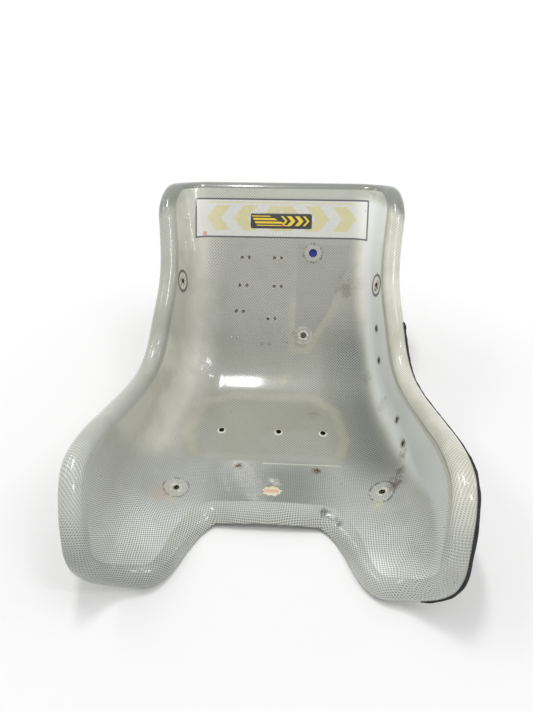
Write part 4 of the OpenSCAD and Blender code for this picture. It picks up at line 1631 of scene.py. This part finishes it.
def round_outline(corners: Sequence[tuple[float, float]], radius: float, steps: int = 8) -> Array:
    """Outline through anticlockwise corners, each rounded by a radius.

    Args:
        corners: Corners in millimetres.
        radius: Radius of the roundings.
        steps: Points to each rounding, less one.

    Returns:
        Points of the outline.
    """
    corners, found = np.array(corners, float), []
    for a, b, c in zip(np.roll(corners, 1, 0), corners, np.roll(corners, -1, 0)):
        u, v = unit(a - b), unit(c - b)
        half = math.acos(float(u @ v)) / 2
        centre = b + unit(u + v) * radius / math.sin(half)
        start, stop = b + u * radius / math.tan(half) - centre, b + v * radius / math.tan(half) - centre
        first = math.atan2(start[1], start[0])
        turn = math.atan2(start[0] * stop[1] - start[1] * stop[0], float(start @ stop))
        angles = first + turn * np.arange(steps + 1) / steps
        found.append(centre + radius * np.stack([np.cos(angles), np.sin(angles)], -1))
    return np.concatenate(found)


def dense_outline(outline: Array, spacing: float) -> Array:
    """Resamples a closed outline so that its points lie about a spacing apart.

    Args:
        outline: Corners of a closed outline.
        spacing: Spacing wanted, in millimetres.

    Returns:
        Points of the outline.
    """
    closed = np.concatenate([outline, outline[:1]])
    run = np.concatenate([[0], np.cumsum(np.linalg.norm(np.diff(closed, axis=0), axis=1))])
    at = np.arange(0, run[-1], run[-1] / round(run[-1] / spacing))
    return np.stack([np.interp(at, run, closed[:, k]) for k in (0, 1)], -1)


@dataclass(frozen=True)
class FlatPlate:
    """A flat piece with a rounded outline, on a plane of the seat.

    The profile lists, from its base up, how far the outline is drawn in and how high it is.
    """

    outline: Array
    origin: Array
    axes: tuple[Array, Array, Array]
    profile: tuple[tuple[float, float], ...]
    ragged: float = 0.0
    seed: int = 1

    def clay(self) -> Clay:
        """Makes the closed body, with its own places as cloth coordinates.

        Returns:
            The body, ready to be fired.
        """
        line = dense_outline(self.outline, 1.6)
        ahead = unit(np.roll(line, -1, 0) - np.roll(line, 1, 0))
        inward = np.stack([-ahead[:, 1], ahead[:, 0]], -1)
        wild = Ripple(self.seed, 26.0).at(np.concatenate([line, 0 * line[:, :1]], -1)) * self.ragged
        u, v, n = self.axes
        body, count = Clay(), len(line)
        for inset, height in self.profile:
            flat = line + inward * (inset + abs(wild) * 0.5 + wild * 0.5)[:, None]
            points = self.origin + flat[:, :1] * u + flat[:, 1:] * v + height * n
            body.add(points, [], 0, np.concatenate([flat, 0 * flat[:, :1]], -1))
        body.close_tube(0, len(self.profile), count)
        return body


class Plies(Builder):
    """The reinforcing plies bonded outside the bucket at its mounting points."""

    BACK_END_R = 24.0
    BACK_SLANT = 0.7
    BACK_OUT_X = 108.0

    def moulded(self, name: str, patch: SkinPatch, hole: Drilling, finish: bpy.types.Material,
                edge: bpy.types.Material) -> None:
        """Builds a ply that follows a curved wall, drilled at its hole.

        Args:
            name: Name of the piece and of its solid.
            patch: Its form.
            hole: The hole through it.
            finish: Its material.
            edge: Material of its cut edge.
        """
        ply = patch.clay(self.form).fire(name, [finish, edge], 45.0)
        Drill([hole]).cut(ply, edge)
        place(ply, "ply", name)

    def build(self, finish: bpy.types.Material, edge: bpy.types.Material) -> None:
        """Builds all the plies.

        Args:
            finish: Material of their faces.
            edge: Material of the holes' walls.
        """
        form, holes = self.form, self.holes
        near = form.laminate_t + form.bond
        mounts = holes.mounts()
        for name, (q, share), hole, seed in (("lower_ply_left", holes.lower[0], mounts[0], 21),
                                             ("lower_ply_right", holes.lower[1], mounts[1], 22)):
            patch = SkinPatch(q, share * float(form.section_len(q)), 28.0, 28.0, near, form.ply_t, 1.0,
                              feather=0.55, ragged=0.02, seed=seed)
            self.moulded(name, patch, hole, finish, edge)
        q, share = holes.SIDE_PLACE
        length = float(form.section_len(q))
        w = min(share * length, length - 19.0 - form.laminate_t)
        for name, side, hole, seed in (("side_ply_left", 1, mounts[2], 23), ("side_ply_right", -1, mounts[3], 24)):
            patch = SkinPatch(q, side * w, 32.0, 19.0, near, form.ply_t, 0.6, feather=0.5, ragged=0.02, seed=seed)
            self.moulded(name, patch, hole, finish, edge)
        self.flat_plies(finish, edge)

    def flat_plies(self, finish: bpy.types.Material, edge: bpy.types.Material) -> None:
        """Builds the ply under the bottom, then the one behind the back.

        Args:
            finish: Their material.
            edge: Material of their cut edges.
        """
        holes, t = self.holes, self.form.ply_t
        soft = ((0.4, 0.0), (0.0, 0.5), (0.15, 0.6 * t), (0.9, 0.92 * t), (2.0, t))
        outline = round_outline(((-92, -53), (92, -53), (83, 53), (-83, 53)), 10.0)
        under = tuple((inset, t - height) for inset, height in reversed(soft))
        base = FlatPlate(outline, np.zeros(3), (np.array([1.0, 0, 0]), np.array([0, 1.0, 0]), np.array([0, 0, 1.0])),
                         under, 0.5, 31).clay().fire("bottom_ply", [finish, edge], 50.0)
        Drill(holes.bottom()).cut(base, edge)
        place(base, "ply", "bottom_ply")
        self.back_ply(finish, edge)

    def back_outline(self, rise: Array) -> tuple[Array, Array]:
        """Inner and outer edge of the ply behind the back, at heights above the stay hole.

        Args:
            rise: Heights along the back in millimetres.

        Returns:
            Distances from the centre line to the driver's left.
        """
        low = np.sqrt(np.maximum(self.BACK_END_R**2 - np.minimum(rise, 0) ** 2, 0))
        outer = low + self.BACK_SLANT * np.maximum(rise - self.BACK_END_R / 2, 0)
        return self.holes.STAY[1] - low, np.minimum(self.holes.STAY[1] + outer, self.BACK_OUT_X)

    def back_ply(self, finish: bpy.types.Material, edge: bpy.types.Material) -> None:
        """Builds the pennant-shaped ply behind the back, which follows the skin.

        Args:
            finish: Its material.
            edge: Material of its cut edges.
        """
        form, holes = self.form, self.holes
        rows, cols = 64, 30
        stay_q = form.bend_end + holes.STAY[0]
        head = form.bend_end + holes.PLUG[0] + 1.1 * holes.PLUG_D - stay_q
        turn = np.radians(np.linspace(14, 90, rows // 4 + 1))
        rise = np.concatenate([-self.BACK_END_R * np.cos(turn), np.linspace(0, head, rows - rows // 4 + 1)[1:]])
        inner, outer = self.back_outline(rise)
        along, across = np.meshgrid(np.linspace(-1, 1, rows + 1), np.linspace(-1, 1, cols + 1), indexing="ij")
        q = np.broadcast_to((stay_q + rise)[:, None], along.shape)
        w = inner[:, None] + (outer - inner)[:, None] * (across + 1) / 2
        brink = np.maximum(abs(along) ** 6, abs(across) ** 3)
        thick = form.ply_t * (1 - 0.5 * ease(0.55, 1.0, brink))
        thick = thick + 0.16 * Ripple(32, 15.0).at(form.skin(q, w / form.section_len(q))) * (1 - brink)
        near, share = form.laminate_t + form.bond, w / form.section_len(q)
        cloth = np.stack([w, q, np.zeros_like(q)], -1)
        clay = Clay()
        clay.close_sheets(form.behind(q, share, np.full_like(q, near)), form.behind(q, share, near + thick), cloth,
                          rows, cols)
        back = clay.fire("back_ply", [finish, edge], 50.0)
        Drill([holes.mounts()[4], holes.plug()]).cut(back, edge)
        place(back, "ply", "back_ply")


class Decals(Builder):
    """The film behind the back, the small badge and the paper tab."""

    def build(self, design: PanelDesign) -> None:
        """Builds the three decals.

        Args:
            design: Pattern of the rear film.
        """
        form = self.form
        panel = SkinPatch(form.spine_len - FILM_BELOW_TOP, 0.0, 31.0, 140.0, form.laminate_t + form.bond, 0.5, 0.0,
                          cells=(14, 96))
        place(panel.clay(form).fire("rear_panel_film", [FilmFinish(design).material()]), "panel_film", "rear_panel")

        lean = math.radians(form.recline)
        y, z = form.spine(np.array(form.spine_len - 50.5))
        axes = (np.array([1.0, 0, 0]), np.array([0, math.sin(lean), math.cos(lean)]),
                np.array([0, -math.cos(lean), math.sin(lean)]))
        plate = FlatPlate(round_outline(((-49.5, -12), (49.5, -12), (49.5, 12), (-49.5, 12)), 3.0),
                          np.array([0, float(y), float(z)]), axes,
                          ((0.0, 0.0), (0.0, 0.25), (0.25, 0.55), (0.9, 0.85), (2.2, 1.0)), 0.0)
        place(plate.clay().fire("front_badge_plate", [BadgeFinish().material()], 60.0), "badge_film", "front_badge")
        self.tab()

    def tab(self) -> None:
        """Builds the burst-shaped tab, which follows the rise between the legs."""
        form = self.form
        q0, w0, rings, points = form.ramp_len - 63.0, 3.0, 10, 72
        angles = np.arange(points) * 2 * math.pi / points
        burst = 1 + 0.1 * np.sin(9 * angles) + 0.05 * np.sin(5 * angles + 1.2)
        clay, stacks = Clay(), []
        for depth in (0.05, -0.55):
            level = []
            for k in range(1, rings + 1):
                r = k / rings
                a, b = 9.0 * r * burst * np.sin(angles), 12.0 * r * burst * np.cos(angles)
                q = q0 + a
                lift = depth if k < rings else -0.1
                p = form.behind(q, (w0 + b) / form.section_len(q), np.full_like(q, lift))
                level.append(clay.add(p, [], 0, np.stack([b, a, 0 * a], -1)))
            stacks.append(level)
        for level, facing in zip(stacks, (False, True)):
            quads = ring_quads(rings, points, not facing)
            clay.join((quads + level[0]).tolist())
            centre = list(range(level[0], level[0] + points))
            clay.join([centre if facing else centre[::-1]])
        low, high = stacks[0][-1] + np.arange(points), stacks[1][-1] + np.arange(points)
        clay.join(band_quads(low, high).tolist())
        place(clay.fire("size_tab_paper", [TabFinish().material()]), "tab_film", "size_tab")


class Fittings(Builder):
    """What closes or edges the laminate: the plug, the old resin and the foam guard."""

    def lathe(self, profile: Sequence[tuple[float, float]], hole: Drilling, sides: int = 48) -> Clay:
        """Turns a closed profile of radius and height round a hole's axis.

        Args:
            profile: Radius and height of each corner.
            hole: The hole whose axis it turns round.
            sides: How many sides.

        Returns:
            The turned body.
        """
        _, spoke, n = spokes(hole.axis, sides)
        clay = Clay()
        for radius, height in profile:
            clay.add(np.array(hole.centre) + radius * spoke + height * n, [])
        clay.close_tube(0, len(profile), sides)
        return clay

    def plug(self) -> None:
        """Builds the blue push-in plug, flanged outside and dished inside."""
        form, hole = self.form, self.holes.plug()
        outside = -form.laminate_t - form.bond - form.ply_t
        core, flange = hole.diameter / 2 - 0.1, hole.diameter / 2 + 4.0
        profile = ((flange - 3.2, outside - 1.5), (flange - 1.0, outside - 1.4), (flange - 0.2, outside - 0.9),
                   (flange, outside - 0.3), (flange, outside), (core, outside), (core, -1.0), (core - 0.4, -0.6),
                   (core - 1.3, -0.5), (core - 1.9, -1.1), (core - 4.5, -1.3))
        finish = PlainFinish("blue_plastic", srgb(6, 20, 104), srgb(10, 34, 142), 3.0, 0.55, 0.06)
        place(self.lathe(profile, hole).fire("hole_plug_blue", [finish.material()], 45.0), "blue_plastic", "hole_plug")

    def resin(self, name: str, node: str, holes: Iterable[Drilling], finish: bpy.types.Material, seed: int) -> None:
        """Builds old resin in a row of holes, sunk and broken at the driver's side.

        Args:
            name: Name of the piece.
            node: Solid that it stands for.
            holes: The holes that it fills.
            finish: Its material.
            seed: Seed of its raggedness.
        """
        draw, clay, sides = np.random.default_rng(seed), Clay(), 18
        for hole in holes:
            angles, spoke, n = spokes(hole.axis, sides)
            radius = hole.diameter / 2 - 0.12
            tilt = draw.uniform(-0.25, 0.25, 2)
            sunk = draw.uniform(0.25, 0.8)
            start = clay.count
            levels = [(radius * 0.5, -4.0), (radius, -4.0), (radius, -2.0), (radius * 0.98, -0.9),
                      (radius * 0.8, -0.5), (radius * 0.55, -0.5), (radius * 0.28, -0.6)]
            for k, (r, height) in enumerate(levels):
                slope = np.cos(angles) * tilt[0] + np.sin(angles) * tilt[1]
                rough = draw.uniform(-0.22, 0.22, sides) if k > 3 else np.zeros(sides)
                top = (height - sunk + slope * r / radius + rough) if k > 2 else np.full(sides, height)
                clay.add(np.array(hole.centre) + r * spoke + np.minimum(top, -0.05)[:, None] * n, [])
            clay.close_tube(start, len(levels), sides)
        place(clay.fire(name, [finish], 60.0), "old_resin", node)

    def guard(self) -> None:
        """Builds the foam strip folded over the cut edge on the driver's left."""
        form, b = self.form, self.form.bond
        tip = 0.8 + 0.2 * np.sin(math.pi / 2 * np.arange(41) / 40)
        start, stop = float(form.front_q(tip)[-1]), form.bend_end + 27.5
        q = np.concatenate([form.front_q(tip), np.linspace(start, stop, 171)[1:]])
        share = np.concatenate([tip, np.ones(170)])
        p = form.skin(q, share)
        ahead = unit(np.gradient(p, axis=0))
        normal = form.normal(q, share)
        up = unit(normal - (normal * ahead).sum(-1, keepdims=True) * ahead)
        out = np.cross(ahead, up)
        radius, turn = form.roll_at(q, share)
        ends = np.minimum(np.arange(len(q)), len(q) - 1 - np.arange(len(q)))
        slim = 0.38 + 0.37 * ease(330, 380, q) + 0.14 * ease(170, 110, q)
        bulk = 2.3 * slim * np.clip(ends / 4.0, 0.2, 1.0) ** 0.5
        ragged = Ripple(41, 11.0).at(p) * 0.25 + Ripple(42, 40.0).at(p) * 0.3
        mid, leg = -form.laminate_t / 2, 3.0 + 2.0 * ease(180, 330, q)
        under = 2 * mid - b
        # Section, as back from the cut edge and height, each with its share of the bulk
        section = ((leg, b, 0, 0), (leg, b, 0, 0.7), (leg - 0.6, b, 0, 1), (leg / 2, b, 0, 1), (0, b, 0, 1),
                   (-b, b, -0.5, 0.75), (-b, b, -0.85, 0.2), (-b, mid, -1, 0), (-b, under, -0.85, -0.2),
                   (-b, under, -0.5, -0.75), (0, under, 0, -1), (leg / 2, under, 0, -1), (leg - 0.6, under, 0, -1),
                   (leg, under, 0, -0.7), (leg, under, 0, 0), (0, under, 0, 0), (-b, under, 0, 0), (-b, mid, 0, 0),
                   (-b, b, 0, 0), (0, b, 0, 0))
        clay, n = Clay(), len(q)
        for back, depth, back_bulk, depth_bulk in section:
            swell = bulk * (1 + ragged)
            angle = (np.radians(turn) - (back + back_bulk * swell) / radius)[:, None]
            r = (radius + depth + depth_bulk * swell)[:, None]
            clay.add(p - radius[:, None] * up + r * (np.sin(angle) * out + np.cos(angle) * up), [])
        rows = len(section)
        for k in range(rows):
            a, c = k * n + np.arange(n - 1), ((k + 1) % rows) * n + np.arange(n - 1)
            clay.join(np.stack([a, c, c + 1, a + 1], -1).tolist())
        clay.join([[k * n for k in range(rows)], [k * n + n - 1 for k in range(rows)][::-1]])
        foam = PlainFinish("black_foam", srgb(22, 22, 24), srgb(48, 48, 50), 14.0, 0.85, 0.35, pores=1.4)
        place(clay.fire("edge_guard_foam", [foam.material()], 60.0), "black_foam", "edge_guard")

    RESIN_SEED = 51
    STRAND_SEED = 61
    STRAND_POINTS = 6
    STRAND_SIDES = 5

    def fibres(self, name: str, hole: Drilling, count: int, finish: bpy.types.Material, seed: int) -> None:
        """Builds broken strands of glass that stand round a drilled hole.

        Args:
            name: Name of the piece.
            hole: The hole.
            count: How many strands.
            finish: Their material.
            seed: Seed of their draw.
        """
        draw, clay = np.random.default_rng(seed), Clay()
        u, v, n = axes_of(hole.axis)
        for _ in range(count):
            angle, reach = draw.uniform(0, 2 * math.pi), hole.diameter / 2
            spoke = math.cos(angle) * u + math.sin(angle) * v
            side = -math.sin(angle) * u + math.cos(angle) * v
            length, lift, swing = draw.uniform(1.6, 4.2), draw.uniform(0.3, 1.1), draw.uniform(-1.6, 1.6)
            inward = draw.uniform() < 0.55
            path = []
            for k in range(self.STRAND_POINTS):
                f = k / (self.STRAND_POINTS - 1)
                away = reach + (0.8 - f * length * 0.75 if inward else f * length - 0.2)
                path.append(np.array(hole.centre) + spoke * away + side * swing * f * f
                            + n * (0.12 + lift * math.sin(math.pi * min(f * 0.8, 1)) * (0.6 if inward else 1)))
            path_points, thick = np.array(path), draw.uniform(0.1, 0.24)
            ahead = unit(np.gradient(path_points, axis=0))
            across = unit(np.cross(ahead, n))
            lid = np.cross(across, ahead)
            start = clay.count
            for k in range(self.STRAND_POINTS):
                r = thick * (1 - 0.14 * k)
                ring = [path_points[k] + r * (1.7 * math.cos(a) * across[k] + math.sin(a) * lid[k])
                        for a in (2 * math.pi * j / self.STRAND_SIDES for j in range(self.STRAND_SIDES))]
                clay.add(np.array(ring), [])
            clay.close_tube(start, self.STRAND_POINTS, self.STRAND_SIDES, False)
        place(clay.fire(name, [finish], 70.0), "laminate")

    def build(self) -> None:
        """Builds all the fittings."""
        holes = self.holes
        self.plug()
        old = PlainFinish("old_resin", srgb(58, 46, 38), srgb(176, 158, 128), 1.7, 0.6, 0.25).material()
        rests = (("tie_hole_resin", "tie_hole_fillers", holes.filled_ties, holes.on_back, holes.TIE_D),
                 ("wall_hole_resin", "wall_hole_fillers", holes.old_wall, holes.on_skin, holes.OLD_D),
                 ("base_hole_resin", "base_hole_fillers", holes.old_base, holes.on_skin, holes.OLD_D))
        for seed, (name, node, places, drill, diameter) in enumerate(rests, self.RESIN_SEED):
            self.resin(name, node, [drill(*at, diameter) for at in places], old, seed)
        self.guard()
        glass = PlainFinish("loose_glass", srgb(196, 190, 164), srgb(236, 232, 214), 1.2, 0.45, 0.1).material()
        strands = (("lower_left_strands", 22), ("lower_right_strands", 22),
                   ("side_left_strands", 14), ("side_right_strands", 14))
        for seed, ((name, count), hole) in enumerate(zip(strands, holes.mounts()), self.STRAND_SEED):
            self.fibres(name, hole, count, glass, seed)


@dataclass(frozen=True)
class Lamp:
    """One soft lamp: place and target in metres, size in metres, and power in watts."""

    name: str
    place: Point
    target: Point
    size: tuple[float, float]
    power: float


@dataclass(frozen=True)
class Viewpoint:
    """Camera: place in metres, turn in degrees, and focal length for a 36 mm sensor."""

    place: Point = (0.02379, -0.57351, 0.5529)
    pitch: float = 35.40
    yaw: float = -3.37
    tilt: float = 0.32
    lens: float = 27.04

    def matrix(self) -> Matrix:
        """World matrix of the camera.

        Returns:
            The matrix, with its place in metres.
        """
        yaw, pitch, tilt = (math.radians(a) for a in (self.yaw, self.pitch, self.tilt))
        ahead = np.array([math.sin(yaw) * math.cos(pitch), math.cos(yaw) * math.cos(pitch), -math.sin(pitch)])
        level = np.array([math.cos(yaw), -math.sin(yaw), 0.0])
        down = np.cross(ahead, level)
        right = math.cos(tilt) * level + math.sin(tilt) * down
        below = -math.sin(tilt) * level + math.cos(tilt) * down
        turned = np.stack([right, -below, -ahead], -1)
        return Matrix.Translation(self.place) @ Matrix(turned.tolist()).to_4x4()


class Studio:
    """Pale floor, soft lamps, sky and camera."""

    LAMPS = (
        Lamp("ceiling_lamp", (-0.25, 0.22, 2.2), (-0.25, 0.22, 0.0), (0.15, 0.66), 8.0),
        Lamp("ceiling_halo", (-0.25, 0.22, 2.21), (-0.25, 0.22, 0.0), (0.21, 0.9), 2.4),
        Lamp("ceiling_fringe", (-0.24, 0.22, 2.22), (-0.24, 0.22, 0.0), (0.28, 1.1), 1.2),
        Lamp("ceiling_end", (0.62, -0.05, 2.2), (0.0, 0.0, 0.1), (0.5, 0.1), 1.6),
        Lamp("soft_box", (0.3, -1.2, 2.6), (0.0, 0.1, 0.1), (2.2, 1.6), 2.0),
        Lamp("tube_left_a", (-1.25, 0.2, 1.7), (0.0, 0.0, 0.1), (0.04, 1.6), 2.4),
        Lamp("tube_left_b", (-1.4, 0.2, 1.6), (0.0, 0.0, 0.1), (0.04, 1.6), 2.4),
        Lamp("window_right", (1.35, -0.85, 2.2), (0.0, 0.0, 0.15), (0.8, 0.28), 7.0),
        Lamp("strip_right", (1.95, 0.5, 0.85), (0.0, 0.1, 0.05), (0.05, 0.6), 1.2),
        Lamp("strip_high", (1.5, -0.2, 1.65), (0.0, 0.1, 0.05), (0.04, 0.3), 0.6))
    SKY = 0.6
    HALF_SIZE = 14000.0
    LEVEL_TO = 7000
    CURVE = 9000
    PAINTED_SHADOW_TONE = srgb(9, 9, 10)
    # Painted shadows on the floor, each a centre, a stretch of the floor's places, and the distances over which it
    # fades in: under the seat, under its back, and where the stay hole looks through
    PAINTED_SHADOWS = (((0.0, 0.0, 0.0), (1.0, 1.3, 1.0), 118.0, 60.0),
              ((-20.0, 400.0, 0.0), (1.0, 2.0, 1.0), 190.0, 40.0),
              ((44.0, 136.0, 0.0), (1.0, 0.5, 1.0), 14.0, 3.0))
    SHADOW_FROM = 330.0
    SHADOW_TO = 620.0

    def floor(self) -> None:
        """Lays a pale floor that curves up behind, with painted shadows under the seat, under its back and where the
        stay hole looks through.
        """
        clay, cells = Clay(), 24
        x, y = np.meshgrid(np.linspace(-1, 1, cells + 1), np.linspace(-1, 1, cells + 1), indexing="ij")
        run = y * self.HALF_SIZE
        lift = np.clip(run - self.LEVEL_TO, 0, None) ** 2 / self.CURVE
        clay.add(np.stack([x * self.HALF_SIZE, run, lift], -1), grid_quads(cells, cells, False))
        paint = Paint("studio_floor")
        tone = paint.noise(paint.point, 900.0, 2.0)
        pale = paint.mix(tone, srgb(247, 247, 247), srgb(250, 250, 250))
        # Painted shadow patches, darkest under the seat
        under, behind, spot = (paint.away(centre, paint.point * stretch).step(far, near)
                               for centre, stretch, far, near in self.PAINTED_SHADOWS)
        pale = paint.mix((behind * 0.55).most(under).most(spot * 0.85), pale, self.PAINTED_SHADOW_TONE)
        lit = paint.take("ShaderNodeBsdfPrincipled", {}, {"Base Color": pale, "Roughness": 0.9,
                                                          "Specular IOR Level": 0.1}, "BSDF")
        white = paint.take("ShaderNodeEmission", {}, {"Color": WHITE, "Strength": 1.0}, "Emission")
        far = paint.away((0.0, 0.0, 0.0)).step(self.SHADOW_FROM, self.SHADOW_TO)
        surface = paint.take("ShaderNodeMixShader", {}, {0: self.seen(paint) * far, 1: lit, 2: white}, "Shader")
        paint.node("ShaderNodeOutputMaterial", {}, {"Surface": surface})
        clay.fire("studio_floor", [paint.material])

    def sky(self) -> None:
        """Lights the scene evenly, with a white background for the camera and for gloss."""
        world = bpy.data.worlds.new("studio_sky")
        bpy.context.scene.world = world
        paint = Paint("studio_sky", world)
        level = paint.take("ShaderNodeMapRange", {}, {"Value": self.seen(paint), "To Min": self.SKY, "To Max": 1.0})
        lit = paint.take("ShaderNodeBackground", {}, {"Color": WHITE, "Strength": level})
        paint.node("ShaderNodeOutputWorld", {}, {"Surface": lit})

    @staticmethod
    def seen(paint: Paint) -> Wire:
        """1 on rays from the camera, from gloss and through clear stuff, and 0 on those that light things."""
        camera, glossy, clear = (paint.take("ShaderNodeLightPath", output=f"Is {kind} Ray")
                                 for kind in ("Camera", "Glossy", "Transmission"))
        return camera.most(glossy).most(clear)

    def lamps(self) -> None:
        """Hangs the lamps."""
        for lamp in self.LAMPS:
            light = bpy.data.lights.new(lamp.name, "AREA")
            light.shape, light.energy = "ELLIPSE", lamp.power
            light.size, light.size_y = lamp.size
            obj = bpy.data.objects.new(lamp.name, light)
            ahead = unit(np.array(lamp.target) - np.array(lamp.place))
            side = unit(np.cross(ahead, [0.0, 1.0, 0.0]))
            turned = np.stack([side, np.cross(side, ahead), -ahead], -1)
            obj.matrix_world = Matrix.Translation(lamp.place) @ Matrix(turned.tolist()).to_4x4()
            bpy.context.scene.collection.objects.link(obj)

    def camera(self) -> None:
        """Sets the camera."""
        view = Viewpoint()
        data = bpy.data.cameras.new("camera")
        data.sensor_width, data.lens, data.sensor_fit = 36.0, view.lens, "AUTO"
        data.clip_start, data.clip_end = 0.02, 80.0
        obj = bpy.data.objects.new("camera", data)
        obj.matrix_world = view.matrix()
        bpy.context.scene.collection.objects.link(obj)
        bpy.context.scene.camera = obj

    def build(self) -> None:
        """Builds the studio."""
        self.floor()
        self.sky()
        self.lamps()
        self.camera()
        bpy.context.scene.view_settings.view_transform = "Standard"


def main() -> None:
    """Builds the seat and its studio, in order."""
    logging.basicConfig(level=logging.INFO, format="%(name)s: %(message)s")
    form = TubForm()
    holes = Holes(form)
    design = PanelDesign()
    Studio().build()
    edge = RawEdgeFinish().material("raw_edge")
    laminate = LaminateFinish().material(form, holes, design)
    # Holes' walls: the raw edge much darker and mostly dark patches, painted shade inside the holes as well as dirt
    bore = RawEdgeFinish(srgb(92, 86, 72), srgb(34, 32, 28), dirt_and_shade_share=0.7).material("bore_wall")
    Tub(form, holes).build(laminate, edge, bore)
    Plies(form, holes).build(PlyFinish().material(), bore)
    Decals(form, holes).build(design)
    Fittings(form, holes).build()


if __name__ == "__main__":
    main()
